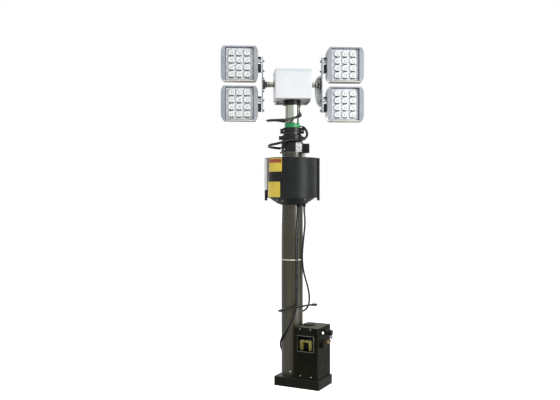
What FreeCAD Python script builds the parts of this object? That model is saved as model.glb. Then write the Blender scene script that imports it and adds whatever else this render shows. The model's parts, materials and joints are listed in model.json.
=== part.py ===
"""Vehicle-mounted telescopic light mast: base with control box, nested tubes, cable drum and a lamp head.

Millimetres. The origin is where the mast axis meets the floor. X runs along the base towards the
control box, Y to the rear and Z up. The lamp head is drawn square to X and then turned by head_turn.
"""
import FreeCAD, Part
import math
import os

import Sketcher

Vector = FreeCAD.Vector
UP = Vector(0, 0, 1)

doc = FreeCAD.newDocument("LightMast")
sheet = doc.addObject("Spreadsheet::Sheet", "Sizes")

# Driving sizes: name and value.
SIZES = [
    # fits between pieces
    ("running_gap", 0.3),
    ("seat_gap", 0.2),
    ("fit_gap", 0.1),
    # base
    ("base_margin", 6.5),
    ("base_right", 216),
    ("base_half_width", 98),
    ("base_height", 54),
    ("base_wall", 5),
    ("base_plate_thickness", 12),
    ("anchor_spacing_x", 220),
    ("anchor_spacing_y", 140),
    ("anchor_hole_radius", 5.1),
    ("edge_round", 3),
    # telescopic tubes, from the fixed one inwards
    ("outer_tube_radius", 63.5),
    ("outer_tube_wall", 4),
    ("outer_tube_top", 1418),
    ("tube_gap", 4),
    ("stage_wall", 3),
    ("pole_reach", 134),
    ("spigot_height", 84),
    ("wear_ring_height", 30),
    ("tube_band_height", 736),
    ("tube_band_width", 6),
    ("tube_band_thickness", 1.5),
    # collars: each stands on the tube that it closes
    ("outer_collar_height", 53),
    ("outer_collar_wall", 3),
    ("stage2_collar_gap", 18),
    ("stage2_collar_height", 24),
    ("stage3_collar_gap", 13),
    ("stage3_collar_height", 34),
    ("collar_wall", 8),
    ("collar_ledge", 6),
    ("stage2_lug", 14.5),
    ("stage3_lug", 13.5),
    ("lug_depth", 30),
    ("lug_slit", 4),
    ("lug_bolt_radius", 4.5),
    ("cable_clip_width", 10),
    ("cable_clip_height", 3),
    ("cable_tab_depth", 8),
    ("cable_tab_height", 13),
    ("seal_ring_height", 25),
    ("seal_ring_wall", 3),
    # cable drum
    ("drum_turn", 26),
    ("drum_clearance", 36),
    ("drum_height", 235),
    ("drum_radius", 147),
    ("drum_sheet", 3),
    ("drum_flange_reach", 16),
    ("drum_flange_drop", 16),
    ("drum_lid_recess", 8),
    ("drum_dish_depth", 36),
    ("drum_dish_rim", 14),
    ("drum_dish_hub", 20),
    ("drum_dish_shoulder", 8),
    # junction box and its milled block on the fixed collar
    ("bracket_proud", 5.5),
    ("bracket_inset", 9.5),
    ("bracket_width", 36),
    ("bracket_depth", 35),
    ("bracket_rise", 6),
    ("junction_box_width", 43),
    ("junction_box_drop", 9),
    ("junction_box_height", 54),
    ("conduit_gland_radius", 12),
    ("conduit_radius", 9),
    ("conduit_margin", 3),
    ("gland_nut", 8),
    # control box
    ("box_gap", 1),
    ("box_step", 9),
    ("box_side_step", 8),
    ("box_height", 299),
    ("box_wall", 3),
    ("panel_overhang", 8),
    ("window_side", 22),
    ("window_drop", 45),
    ("window_width", 110),
    ("window_height", 96),
    ("window_round", 10),
    ("window_overlap", 5),
    ("window_frame_width", 6),
    ("window_frame_depth", 4),
    # behind the window
    ("coil_setback", 24),
    ("coil_depth", 18),
    ("coil_inset_left", 7),
    ("coil_inset_right", 28),
    ("coil_inset_low", 6),
    ("coil_inset_top", 33),
    ("coil_width", 18),
    ("coil_arm", 12),
    ("coil_slot", 6),
    ("valve_depth", 26),
    ("valve_margin", 6),
    # cap on the control box
    ("cap_inset", 42),
    ("cap_y", 8),
    ("cap_radius", 35),
    ("cap_rim_height", 4),
    ("cap_crown_height", 3),
    ("cap_step", 5),
    # air fittings on the control box: distances from its front edge and down from its top
    ("inlet_from_front", 42),
    ("inlet_drop", 30),
    ("inlet_radius", 9),
    ("inlet_nut_radius", 12.6),
    ("inlet_nut", 8),
    ("inlet_length", 26),
    ("inlet_bore", 4),
    ("inlet_bore_depth", 14),
    ("plug_from_front", 50),
    ("plug_drop", 103),
    ("plug_radius", 15),
    ("plug_length", 10),
    ("regulator_from_front", 100),
    ("regulator_drop", 35),
    ("regulator_radius", 17),
    ("regulator_neck_radius", 12),
    ("regulator_neck", 8),
    ("regulator_length", 46),
    ("regulator_arm_rise", 3),
    ("bowl_out", 26),
    ("bowl_from_regulator", 34),
    ("bowl_radius", 8),
    ("bowl_glass_radius", 7.5),
    ("bowl_length", 32),
    ("silencer_from_front", 86),
    ("silencer_drop", 89),
    ("silencer_radius", 10),
    ("silencer_neck_radius", 5.5),
    ("silencer_end_radius", 8),
    ("silencer_ring_start", 25),
    ("silencer_ring_length", 14),
    ("silencer_out", 18),
    ("silencer_length", 46),
    # pan and tilt head
    ("head_turn", 31),
    ("pan_flange_radius", 50),
    ("cable_outlet_x", 38),
    ("cable_outlet_y", 44),
    ("cable_outlet_half", 11),
    ("cable_outlet_height", 18),
    ("pan_spindle_radius", 22),
    ("pan_spindle_length", 24),
    ("chassis_rise", 13),
    ("chassis_inset", 7),
    ("chassis_lip", 16),
    ("chassis_thickness", 5),
    ("cover_half", 106),
    ("cover_rise", 62),
    ("cover_wall", 3),
    ("lid_height", 17),
    ("drive_half_width", 70),
    ("drive_half_depth", 55),
    ("drive_cap", 43),
    ("tilt_rise", 87),
    ("shaft_radius", 15),
    ("shaft_hole_gap", 1.5),
    # lamp bars and knuckles
    ("bar_clearance", 67),
    ("bar_thickness", 6),
    ("bar_half_width", 20),
    ("bar_margin", 1.5),
    ("bar_end_round", 8),
    ("bar_flange_thickness", 12),
    ("bar_flange_radius", 27),
    ("knuckle_width", 24.5),
    ("knuckle_height", 89),
    ("knuckle_depth", 44),
    ("knuckle_block_height", 44),
    ("knuckle_plate", 6),
    ("knuckle_bolt_radius", 9),
    # lamps
    ("lamp_spacing", 27),
    ("lamp_body_width", 165),
    ("lamp_height", 205),
    ("lamp_depth", 92),
    ("lamp_lip", 7),
    ("lamp_recess", 24),
    ("lamp_back", 8),
    ("fin_thickness", 3),
    ("fin_count", 13),
    ("cap_width", 26),
    ("cap_shoulder", 42),
    ("cap_end_width", 11),
    ("cap_curve", 60),
    ("cap_rear_cut", 24),
    ("lens_pitch_x", 45.6),
    ("lens_pitch_z", 42),
    ("lens_radius", 20),
    ("lens_tip_radius", 15),
    ("lens_height", 13),
    ("lens_plate", 4),
    # cables
    ("cable_radius", 5),
    ("coil_cable_radius", 7),
    ("gland_radius", 10),
    ("gland_length", 18),
    ("lid_gland_height", 10),
    ("lead_radius", 7),
    ("plug_sleeve_radius", 7),
    ("plug_sleeve_length", 10),
    ("plug_shell_radius", 9),
    ("plug_shell_length", 26),
]


class Size:
    """A value together with the expression that works it out from the sheet."""

    def __init__(self, value, text):
        self.value = value
        self.text = text

    def join(self, other, sign, value):
        return Size(value, "(%s %s %s)" % (self.text, sign, text_of(other)))

    def __add__(self, other):
        return self.join(other, "+", self.value + value_of(other))

    def __sub__(self, other):
        return self.join(other, "-", self.value - value_of(other))

    def __mul__(self, other):
        return self.join(other, "*", self.value * value_of(other))

    def __truediv__(self, other):
        return self.join(other, "/", self.value / value_of(other))

    def __neg__(self):
        return self * -1


def value_of(size):
    return size.value if isinstance(size, Size) else float(size)


def text_of(size):
    return size.text if isinstance(size, Size) else repr(float(size))


class Sizes:
    """The sheet's cells by name, as Size values."""


def fill_sheet():
    sizes = Sizes()
    for number, (name, value) in enumerate(SIZES, start=1):
        sheet.set("A%d" % number, name)
        sheet.set("B%d" % number, str(value))
        sheet.setAlias("B%d" % number, name)
        setattr(sizes, name, Size(float(value), "Sizes." + name))
    doc.recompute()
    return sizes


S = fill_sheet()
nodes = []

# Sizes worked out from the driving ones
S.base_left = S.outer_tube_radius + S.base_margin
S.stage2_radius = S.outer_tube_radius - S.outer_tube_wall - S.tube_gap
S.stage3_radius = S.stage2_radius - S.stage_wall - S.tube_gap
S.pole_radius = S.stage3_radius - S.stage_wall - S.tube_gap
S.outer_collar_top = S.outer_tube_top + S.collar_ledge
S.outer_collar_bottom = S.outer_collar_top - S.outer_collar_height
S.stage2_collar_bottom = S.outer_collar_top + S.stage2_collar_gap
S.stage2_collar_top = S.stage2_collar_bottom + S.stage2_collar_height
S.stage3_collar_bottom = S.stage2_collar_top + S.stage3_collar_gap
S.stage3_collar_top = S.stage3_collar_bottom + S.stage3_collar_height
S.stage2_lug_reach = S.stage2_radius + S.collar_wall + S.stage2_lug
S.stage3_lug_reach = S.stage3_radius + S.collar_wall + S.stage3_lug
S.pole_top = S.stage3_collar_top + S.pole_reach
S.drum_top = S.outer_collar_bottom - S.drum_clearance
S.drum_bottom = S.drum_top - S.drum_height
S.bracket_right = S.outer_tube_radius + S.outer_collar_wall - S.bracket_inset
S.bracket_left = S.bracket_right - S.bracket_width
S.bracket_front = S.outer_tube_radius + S.outer_collar_wall + S.bracket_proud
S.bracket_back = S.bracket_front - S.bracket_depth
S.junction_box_bottom = S.outer_collar_bottom - S.junction_box_drop
S.box_left = S.outer_tube_radius + S.box_gap
S.box_right = S.base_right - S.box_step
S.box_half_depth = S.base_half_width - S.box_side_step
S.box_top = S.base_height + S.box_height
S.window_right = S.box_right - S.window_side
S.window_left = S.window_right - S.window_width
S.window_top = S.box_top - S.window_drop
S.window_bottom = S.window_top - S.window_height
S.coil_left = S.window_left + S.coil_inset_left
S.coil_right = S.window_right - S.coil_inset_right
S.coil_bottom = S.window_bottom + S.coil_inset_low
S.coil_top = S.window_top - S.coil_inset_top
S.chassis_bottom = S.pole_top + S.chassis_rise
S.chassis_half = S.cover_half - S.chassis_inset
S.chassis_floor = S.chassis_bottom + S.chassis_lip + S.chassis_thickness
S.tilt_height = S.chassis_floor + S.tilt_rise
S.cover_top = S.tilt_height + S.cover_rise
S.bar_inner = S.cover_half + S.bar_clearance
S.lamp_width = S.lamp_body_width + S.cap_width * 2
S.lamp_offset = S.bar_inner + S.bar_thickness + S.knuckle_width + S.lamp_width / 2
S.lamp_rise = (S.lamp_height + S.lamp_spacing) / 2
S.bar_half_length = S.lamp_rise + S.knuckle_height / 2 + S.bar_margin


def bind(item, prop, size):
    """Sets a property, and ties it to the sheet where the size comes from there."""
    if isinstance(size, Size):
        item.setExpression(prop, size.text)


def turn_about_mast(item, angle):
    item.Placement = FreeCAD.Placement(Vector(), FreeCAD.Rotation(UP, angle.value))
    item.setExpression(".Placement.Rotation.Angle", angle.text + " * 1 deg")
    return item


def keep(item, label, turn=None):
    """Makes an object a sub-part, named label, turned about the mast axis."""
    item.Label = label
    if turn is not None:
        turn_about_mast(item, turn)
    nodes.append(item)
    return item


# Bodies, sketches and features

AXIS_OF_PLANE = {"XY_Plane": 1, "XZ_Plane": -1, "YZ_Plane": 1}


def body(name):
    return doc.addObject("PartDesign::Body", name)


def sketch(owner, plane, offset=0):
    """A sketch on one of the body's own planes, moved by offset along the row axis across it."""
    item = owner.newObject("Sketcher::SketchObject", owner.Name + "_sketch")
    origin_plane = [f for f in owner.Origin.OriginFeatures if f.Role == plane][0]
    item.AttachmentSupport = [(origin_plane, "")]
    item.MapMode = "FlatFace"
    shift = Size(value_of(offset), text_of(offset)) * AXIS_OF_PLANE[plane]
    item.AttachmentOffset = FreeCAD.Placement(Vector(0, 0, shift.value), FreeCAD.Rotation())
    item.setExpression(".AttachmentOffset.Base.z", shift.text)
    return item


def fix(item, kind, geometry, point, size):
    """Holds one coordinate of a sketch point at a size."""
    number = item.addConstraint(Sketcher.Constraint(kind, geometry, point, value_of(size)))
    bind(item, "Constraints[%d]" % number, size)


def outline(item, points):
    """Closes a loop through (x, y) points, anticlockwise.

    A third value makes the stretch to the next point an arc of that radius that bulges outwards.
    """
    first = item.GeometryCount
    count = len(points)
    starts = []
    for number, point in enumerate(points):
        after = points[(number + 1) % count]
        a = Vector(value_of(point[0]), value_of(point[1]), 0)
        b = Vector(value_of(after[0]), value_of(after[1]), 0)
        if len(point) == 2:
            item.addGeometry(Part.LineSegment(a, b), False)
        else:
            radius = value_of(point[2])
            half = (b - a).Length / 2
            inward = Vector(a.y - b.y, b.x - a.x, 0).normalize()
            centre = (a + b) / 2 + inward * math.sqrt(radius ** 2 - half ** 2)
            begin = math.atan2(a.y - centre.y, a.x - centre.x)
            end = math.atan2(b.y - centre.y, b.x - centre.x)
            if end < begin:
                end += 2 * math.pi
            item.addGeometry(Part.ArcOfCircle(Part.Circle(centre, UP, radius), begin, end), False)
        starts.append(first + number)
    for number in range(count):
        follows = starts[(number + 1) % count]
        item.addConstraint(Sketcher.Constraint("Coincident", starts[number], 2, follows, 1))
    for number, point in enumerate(points):
        fix(item, "DistanceX", starts[number], 1, point[0])
        fix(item, "DistanceY", starts[number], 1, point[1])
        if len(point) == 3:
            radius = Sketcher.Constraint("Radius", starts[number], value_of(point[2]))
            bind(item, "Constraints[%d]" % item.addConstraint(radius), point[2])


def rectangle(item, left, low, right, high):
    outline(item, [(left, low), (right, low), (right, high), (left, high)])


def rounded_rectangle(item, left, low, right, high, radius):
    outline(item, [
        (left + radius, low), (right - radius, low, radius),
        (right, low + radius), (right, high - radius, radius),
        (right - radius, high), (left + radius, high, radius),
        (left, high - radius), (left, low + radius, radius),
    ])


def circle(item, x, y, radius):
    number = item.addGeometry(Part.Circle(Vector(value_of(x), value_of(y), 0), UP, value_of(radius)), False)
    fix(item, "DistanceX", number, 3, x)
    fix(item, "DistanceY", number, 3, y)
    bind(item, "Constraints[%d]" % item.addConstraint(
        Sketcher.Constraint("Radius", number, value_of(radius))), radius)


def pad(owner, item, length):
    """Adds a prism from the sketch along the positive row axis across it."""
    feature = owner.newObject("PartDesign::Pad", owner.Name + "_pad")
    feature.Profile = item
    feature.Reversed = item.AttachmentSupport[0][0].Role == "XZ_Plane"
    feature.Length = value_of(length)
    bind(feature, "Length", length)
    doc.recompute()
    return feature


def pocket(owner, item, depth):
    """Cuts a prism from the sketch along the positive row axis across it."""
    before = owner.Shape.Volume
    feature = owner.newObject("PartDesign::Pocket", owner.Name + "_pocket")
    feature.Profile = item
    feature.Reversed = item.AttachmentSupport[0][0].Role != "XZ_Plane"
    feature.Length = value_of(depth)
    bind(feature, "Length", depth)
    doc.recompute()
    if owner.Shape.Volume >= before - 1e-3:
        raise RuntimeError(owner.Name + ": a pocket cuts nothing")
    return feature


def revolve(owner, item, angle=360, backwards=False):
    """Turns a profile in the XZ plane about the vertical axis."""
    feature = owner.newObject("PartDesign::Revolution", owner.Name + "_turned")
    feature.Profile = item
    feature.ReferenceAxis = (item, ["V_Axis"])
    feature.Angle = angle
    feature.Reversed = backwards
    doc.recompute()
    return feature


def turned(label, points, turn=None, keep_it=True):
    """A turned piece from its half profile of (radius, height) points."""
    owner = body(label)
    profile = sketch(owner, "XZ_Plane")
    outline(profile, points)
    revolve(owner, profile)
    return keep(owner, label, turn) if keep_it else owner


def ring(label, inner, outer, low, high, turn=None):
    return turned(label, [(inner, low), (outer, low), (outer, high), (inner, high)], turn)


def repeat(owner, feature, axis, length, count):
    """Copies a feature along one of the body's own axes."""
    pattern = owner.newObject("PartDesign::LinearPattern", owner.Name + "_row")
    pattern.Originals = [feature]
    pattern.Direction = ([f for f in owner.Origin.OriginFeatures if f.Role == axis][0], [""])
    pattern.Length = value_of(length)
    bind(pattern, "Length", length)
    pattern.Occurrences = int(value_of(count))
    bind(pattern, "Occurrences", count)
    owner.Tip = pattern
    doc.recompute()
    return pattern


def together(name, *items):
    item = doc.addObject("Part::Compound", name)
    item.Links = list(items)
    doc.recompute()
    return item


# Base: a plate with four threaded holes under a folded cover

def base():
    plate = body("base_plate")
    inset = S.base_wall + S.seat_gap
    floor = sketch(plate, "XY_Plane")
    rectangle(floor, -S.base_left + inset, -S.base_half_width + inset,
              S.base_right - inset, S.base_half_width - inset)
    pad(plate, floor, S.base_plate_thickness)
    holes = sketch(plate, "XY_Plane")
    middle = (S.base_right - S.base_left) / 2
    for side_x in (-0.5, 0.5):
        for side_y in (-0.5, 0.5):
            circle(holes, middle + S.anchor_spacing_x * side_x, S.anchor_spacing_y * side_y, S.anchor_hole_radius)
    pocket(plate, holes, S.base_plate_thickness)
    keep(plate, "base_plate")

    cover = body("base_plinth")
    outside = sketch(cover, "XY_Plane")
    rounded_rectangle(outside, -S.base_left, -S.base_half_width, S.base_right, S.base_half_width, S.edge_round)
    pad(cover, outside, S.base_height)
    inside = sketch(cover, "XY_Plane")
    rectangle(inside, -S.base_left + S.base_wall, -S.base_half_width + S.base_wall,
              S.base_right - S.base_wall, S.base_half_width - S.base_wall)
    pocket(cover, inside, S.base_height - S.base_wall)
    opening = sketch(cover, "XY_Plane")
    circle(opening, 0, 0, S.outer_tube_radius + S.seat_gap)
    pocket(cover, opening, S.base_height)
    keep(cover, "base_plinth")


# Mast: nested tubes, each closed by a collar that guides the next one

def tube(label, radius, wall, low, high):
    return ring(label, radius - wall, radius, low, high)


def stage(label, radius, outside, top):
    """A sliding tube with the wear ring at its foot that runs in the tube around it."""
    low = S.spigot_height + S.base_plate_thickness + S.running_gap
    bearing = outside - S.running_gap
    return turned(label, [
        (radius - S.stage_wall, low), (bearing, low), (bearing, low + S.wear_ring_height),
        (radius, low + S.wear_ring_height), (radius, top), (radius - S.stage_wall, top),
    ])


def collar(label, own_radius, wall, next_radius, low, high, lug_reach=None):
    """A ring on its own tube's end, with a ledge that guides the next tube, and two clamp lugs."""
    ledge = high - S.collar_ledge
    guide = next_radius + S.running_gap
    owner = turned(label, [
        (own_radius, low), (own_radius + wall, low), (own_radius + wall, high),
        (guide, high), (guide, ledge), (own_radius, ledge),
    ], keep_it=False)
    if lug_reach is not None:
        for side in (-1, 1):
            near = (own_radius + wall / 2) * side
            far = lug_reach * side
            lug = sketch(owner, "XY_Plane", low)
            left, right = (far, near) if side < 0 else (near, far)
            rectangle(lug, left, -S.lug_depth / 2, right, S.lug_depth / 2)
            pad(owner, lug, ledge - low)
            slit = sketch(owner, "XY_Plane", low)
            rectangle(slit, left, -S.lug_slit / 2, right, S.lug_slit / 2)
            pocket(owner, slit, ledge - low)
        bolts = sketch(owner, "XZ_Plane", -S.lug_depth / 2)
        for side in (-1, 1):
            circle(bolts, (own_radius + wall + lug_reach) * (0.5 * side), (low + ledge) / 2, S.lug_bolt_radius)
        pocket(owner, bolts, S.lug_depth)
    return owner


def cable_clip(owner, lug_top):
    """The saddle on the upper collar's right lug that carries the coil cable's bend."""
    saddle = sketch(owner, "XY_Plane", lug_top)
    rectangle(saddle, S.stage3_radius + S.collar_wall / 2, -S.cable_clip_width / 2,
              S.stage3_lug_reach, S.cable_clip_width / 2)
    pad(owner, saddle, S.cable_clip_height)


def cable_tab(owner):
    """The tab under the middle collar's front that the coil cable is tied to."""
    tab = sketch(owner, "XY_Plane", S.stage2_collar_bottom - S.cable_tab_height)
    back = -S.stage2_radius - S.running_gap
    rectangle(tab, -S.cable_clip_width / 2, back - S.cable_tab_depth, S.cable_clip_width / 2, back)
    pad(owner, tab, S.cable_tab_height)


def mast():
    foot = S.base_plate_thickness
    bore = S.outer_tube_radius - S.outer_tube_wall
    spigot = bore - S.seat_gap
    turned("foot_spigot", [(0, foot), (spigot, foot), (spigot, foot + S.spigot_height), (0, foot + S.spigot_height)])
    tube("outer_tube", S.outer_tube_radius, S.outer_tube_wall, foot, S.outer_tube_top)
    ring("tube_band", S.outer_tube_radius, S.outer_tube_radius + S.tube_band_thickness,
         S.tube_band_height - S.tube_band_width / 2, S.tube_band_height + S.tube_band_width / 2)
    keep(collar("outer_collar", S.outer_tube_radius, S.outer_collar_wall, S.stage2_radius,
                S.outer_collar_bottom, S.outer_collar_top), "outer_collar", S.drum_turn)
    stage("stage2_tube", S.stage2_radius, bore, S.stage2_collar_top - S.collar_ledge)
    lower = collar("stage2_collar", S.stage2_radius, S.collar_wall, S.stage3_radius,
                   S.stage2_collar_bottom, S.stage2_collar_top, S.stage2_lug_reach)
    cable_tab(lower)
    keep(lower, "stage2_collar", S.drum_turn)
    stage("stage3_tube", S.stage3_radius, S.stage2_radius - S.stage_wall, S.stage3_collar_top - S.collar_ledge)
    upper = collar("stage3_collar", S.stage3_radius, S.collar_wall, S.pole_radius,
                   S.stage3_collar_bottom, S.stage3_collar_top, S.stage3_lug_reach)
    cable_clip(upper, S.stage3_collar_top - S.collar_ledge)
    keep(upper, "stage3_collar", S.drum_turn)
    guide = S.pole_radius + S.running_gap
    ring("seal_ring", guide, guide + S.seal_ring_wall, S.stage3_collar_top, S.stage3_collar_top + S.seal_ring_height)
    stage("pole", S.pole_radius, S.stage3_radius - S.stage_wall, S.pole_top)


# Cable drum: two flanged half shells round the fixed tube, a flat lid and a dished bottom

def half_shell(label, front):
    owner = body(label)
    profile = sketch(owner, "XZ_Plane")
    rectangle(profile, S.drum_radius - S.drum_sheet, S.drum_bottom, S.drum_radius, S.drum_top)
    revolve(owner, profile, 180, backwards=front)
    for side in (-1, 1):
        near = (S.drum_radius - S.drum_sheet) * side
        far = (S.drum_radius + S.drum_flange_reach) * side
        left, right = (far, near) if side < 0 else (near, far)
        flange = sketch(owner, "XZ_Plane", -S.drum_sheet if front else 0)
        rectangle(flange, left, S.drum_bottom, right, S.drum_top)
        pad(owner, flange, S.drum_sheet)
        near = S.drum_radius * side
        left, right = (far, near) if side < 0 else (near, far)
        tip = sketch(owner, "XZ_Plane", -S.drum_sheet if front else 0)
        rectangle(tip, left, S.drum_bottom - S.drum_flange_drop, right, S.drum_bottom)
        pad(owner, tip, S.drum_sheet)
    return keep(owner, label, S.drum_turn)


def drum():
    half_shell("drum_front_shell", True)
    half_shell("drum_rear_shell", False)
    inside = S.drum_radius - S.drum_sheet - S.seat_gap
    on_tube = S.outer_tube_radius + S.seat_gap
    lid_top = S.drum_top - S.drum_lid_recess
    ring("drum_lid", on_tube, inside, lid_top - S.drum_sheet, lid_top)
    rim = S.drum_bottom + S.drum_dish_rim
    low = S.drum_bottom - S.drum_dish_depth
    turned("drum_dish", [
        (on_tube, low), (on_tube + S.drum_dish_hub, low), (inside - S.drum_dish_shoulder, S.drum_bottom),
        (inside, S.drum_bottom), (inside, rim), (inside - S.drum_sheet, rim),
        (inside - S.drum_sheet, S.drum_bottom + S.drum_sheet),
        (inside - S.drum_dish_shoulder, S.drum_bottom + S.drum_sheet),
        (on_tube + S.drum_dish_hub, low + S.drum_sheet), (on_tube, low + S.drum_sheet),
    ])


# Junction box, held on the fixed collar by a milled block

def junction():
    low = S.junction_box_bottom
    holder = body("junction_bracket")
    face = sketch(holder, "XY_Plane", low + S.bracket_rise)
    rectangle(face, S.bracket_left, -S.bracket_front, S.bracket_right, -S.bracket_back)
    pad(holder, face, S.junction_box_height)
    bore = sketch(holder, "XY_Plane", low)
    circle(bore, 0, 0, S.outer_tube_radius + S.outer_collar_wall + S.seat_gap)
    pocket(holder, bore, S.bracket_rise + S.junction_box_height)
    keep(holder, "junction_bracket", S.drum_turn)

    case = body("junction_box")
    face = sketch(case, "XY_Plane", low)
    rectangle(face, S.bracket_right, -S.bracket_front, S.bracket_right + S.junction_box_width, -S.bracket_back)
    pad(case, face, S.junction_box_height)
    keep(case, "junction_box", S.drum_turn)

    gland = body("junction_gland")
    lid_top = S.drum_top - S.drum_lid_recess
    x = S.bracket_right + S.conduit_gland_radius + S.conduit_margin
    y = -(S.bracket_front + S.bracket_back) / 2
    for height, radius, length in (
        (lid_top, S.conduit_gland_radius, S.gland_nut),
        (lid_top, S.conduit_radius, low - lid_top),
        (low - S.gland_nut, S.conduit_gland_radius, S.gland_nut),
    ):
        disc = sketch(gland, "XY_Plane", height)
        circle(disc, x, y, radius)
        pad(gland, disc, length)
    keep(gland, "junction_gland", S.drum_turn)


def control_box():
    left = S.box_left
    front = -S.box_half_depth + S.box_wall
    housing = body("control_box")
    outside = sketch(housing, "XY_Plane", S.base_height)
    rectangle(outside, left, front, S.box_right, S.box_half_depth)
    pad(housing, outside, S.box_top - S.base_height)
    inside = sketch(housing, "XZ_Plane", front)
    rectangle(inside, left + S.box_wall, S.base_height + S.box_wall, S.box_right - S.box_wall, S.box_top - S.box_wall)
    pocket(housing, inside, S.box_half_depth * 2 - S.box_wall * 2)
    keep(housing, "control_box")

    panel = body("control_box_front")
    plate = sketch(panel, "XZ_Plane", -S.box_half_depth)
    rectangle(plate, left - S.panel_overhang, S.base_height, S.box_right, S.box_top)
    pad(panel, plate, S.box_wall)
    rim = S.window_overlap
    right = S.window_right
    high = S.window_top
    opening = sketch(panel, "XZ_Plane", -S.box_half_depth)
    rounded_rectangle(opening, S.window_left + rim, S.window_bottom + rim, right - rim, high - rim,
                      S.window_round - rim)
    pocket(panel, opening, S.box_wall)
    keep(panel, "control_box_front")

    frame = body("window_frame")
    outer = sketch(frame, "XZ_Plane", -S.box_half_depth - S.window_frame_depth)
    rounded_rectangle(outer, S.window_left, S.window_bottom, right, high, S.window_round)
    pad(frame, outer, S.window_frame_depth)
    inner = sketch(frame, "XZ_Plane", -S.box_half_depth - S.window_frame_depth)
    width = S.window_frame_width
    rounded_rectangle(inner, S.window_left + width, S.window_bottom + width, right - width, high - width,
                      S.window_round - width)
    pocket(frame, inner, S.window_frame_depth)
    keep(frame, "window_frame")

    pane = body("window_pane")
    glass = sketch(pane, "XZ_Plane", -S.box_half_depth)
    edge = rim + S.seat_gap
    rounded_rectangle(glass, S.window_left + edge, S.window_bottom + edge, right - edge, high - edge,
                      S.window_round - rim)
    pad(pane, glass, S.box_wall)
    keep(pane, "window_pane")


def box_inside():
    """What the window shows: a mounting wall with a valve block and two coils."""
    left = S.box_left + S.box_wall
    right = S.box_right - S.box_wall
    floor = S.base_height + S.box_wall
    wall_front = -S.box_half_depth + S.coil_setback + S.coil_depth + S.valve_depth
    block = body("valve_block")
    wall = sketch(block, "XZ_Plane", wall_front)
    rectangle(wall, left, floor, right, S.window_top)
    pad(block, wall, S.box_wall)
    manifold = sketch(block, "XZ_Plane", wall_front - S.valve_depth)
    rectangle(manifold, S.coil_left, S.coil_bottom - S.valve_margin, S.coil_right, S.coil_top + S.valve_margin)
    pad(block, manifold, S.valve_depth)
    keep(block, "valve_block")

    coils = []
    middle = (S.coil_left + S.coil_right) / 2
    for side, edge in ((1, S.coil_left), (-1, S.coil_right)):
        coil = body("coil")
        face = sketch(coil, "XZ_Plane", wall_front - S.valve_depth - S.coil_depth)
        inner = edge + S.coil_width * side
        arm = middle - S.coil_slot * (side / 2)
        neck = S.coil_top - S.coil_arm
        if side > 0:
            outline(face, [(edge, S.coil_bottom), (inner, S.coil_bottom), (inner, neck), (arm, neck),
                           (arm, S.coil_top), (edge, S.coil_top)])
        else:
            outline(face, [(inner, S.coil_bottom), (edge, S.coil_bottom), (edge, S.coil_top), (arm, S.coil_top),
                           (arm, neck), (inner, neck)])
        pad(coil, face, S.coil_depth)
        coils.append(coil)
    keep(together("valve_coils", *coils), "valve_coils")


def box_fittings():
    """The cap on the control box and the air fittings on its right side."""
    cap = body("box_cap")
    cap_x = S.box_left + S.cap_inset
    rim = sketch(cap, "XY_Plane", S.box_top)
    circle(rim, cap_x, S.cap_y, S.cap_radius)
    pad(cap, rim, S.cap_rim_height)
    crown = sketch(cap, "XY_Plane", S.box_top + S.cap_rim_height)
    circle(crown, cap_x, S.cap_y, S.cap_radius - S.cap_step)
    pad(cap, crown, S.cap_crown_height)
    keep(cap, "box_cap")

    edge = -S.box_half_depth
    side_piece("air_inlet", edge + S.inlet_from_front, S.box_top - S.inlet_drop, [
        (0, S.inlet_nut_radius, S.inlet_nut), (S.inlet_nut, S.inlet_radius, S.inlet_length - S.inlet_nut),
    ], bore=(S.inlet_bore, S.inlet_bore_depth, S.inlet_length))
    side_piece("blank_plug", edge + S.plug_from_front, S.box_top - S.plug_drop, [(0, S.plug_radius, S.plug_length)])

    y = edge + S.regulator_from_front
    z = S.box_top - S.regulator_drop
    regulator = side_piece("air_regulator", y, z, [
        (0, S.regulator_neck_radius, S.regulator_neck),
        (S.regulator_neck, S.regulator_radius, S.regulator_length - S.regulator_neck),
    ], keep_it=False)
    arm = sketch(regulator, "XZ_Plane", y)
    arm_x = S.box_right + S.bowl_out
    rectangle(arm, arm_x - S.bowl_radius, z - S.bowl_radius, arm_x + S.bowl_radius, z + S.regulator_arm_rise)
    pad(regulator, arm, S.bowl_from_regulator + S.bowl_radius)
    keep(regulator, "air_regulator")

    bowl = body("filter_bowl")
    glass = sketch(bowl, "XY_Plane", z - S.bowl_radius - S.bowl_length)
    circle(glass, arm_x, y + S.bowl_from_regulator, S.bowl_glass_radius)
    pad(bowl, glass, S.bowl_length)
    keep(bowl, "filter_bowl")

    y = edge + S.silencer_from_front
    z = S.box_top - S.silencer_drop
    silencer = side_piece("brass_silencer", y, z, [
        (0, S.silencer_neck_radius, S.silencer_out),
        (S.silencer_out - S.silencer_radius, S.silencer_radius, S.silencer_radius * 2),
    ], keep_it=False)
    for start, radius, length in (
        (y, S.silencer_end_radius, S.silencer_length),
        (y + S.silencer_ring_start, S.silencer_radius, S.silencer_ring_length),
    ):
        barrel = sketch(silencer, "XZ_Plane", start)
        circle(barrel, S.box_right + S.silencer_out, z, radius)
        pad(silencer, barrel, length)
    keep(silencer, "brass_silencer")


def side_piece(label, y, z, steps, bore=None, keep_it=True):
    """Discs that stand out of the control box's right side: (start, radius, length) steps."""
    owner = body(label)
    for start, radius, length in steps:
        disc = sketch(owner, "YZ_Plane", S.box_right + start)
        circle(disc, y, z, radius)
        pad(owner, disc, length)
    if bore is not None:
        radius, depth, length = bore
        hole = sketch(owner, "YZ_Plane", S.box_right + length - depth)
        circle(hole, y, z, radius)
        pocket(owner, hole, depth)
    return keep(owner, label) if keep_it else owner


# Pan and tilt head, drawn square to X

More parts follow.
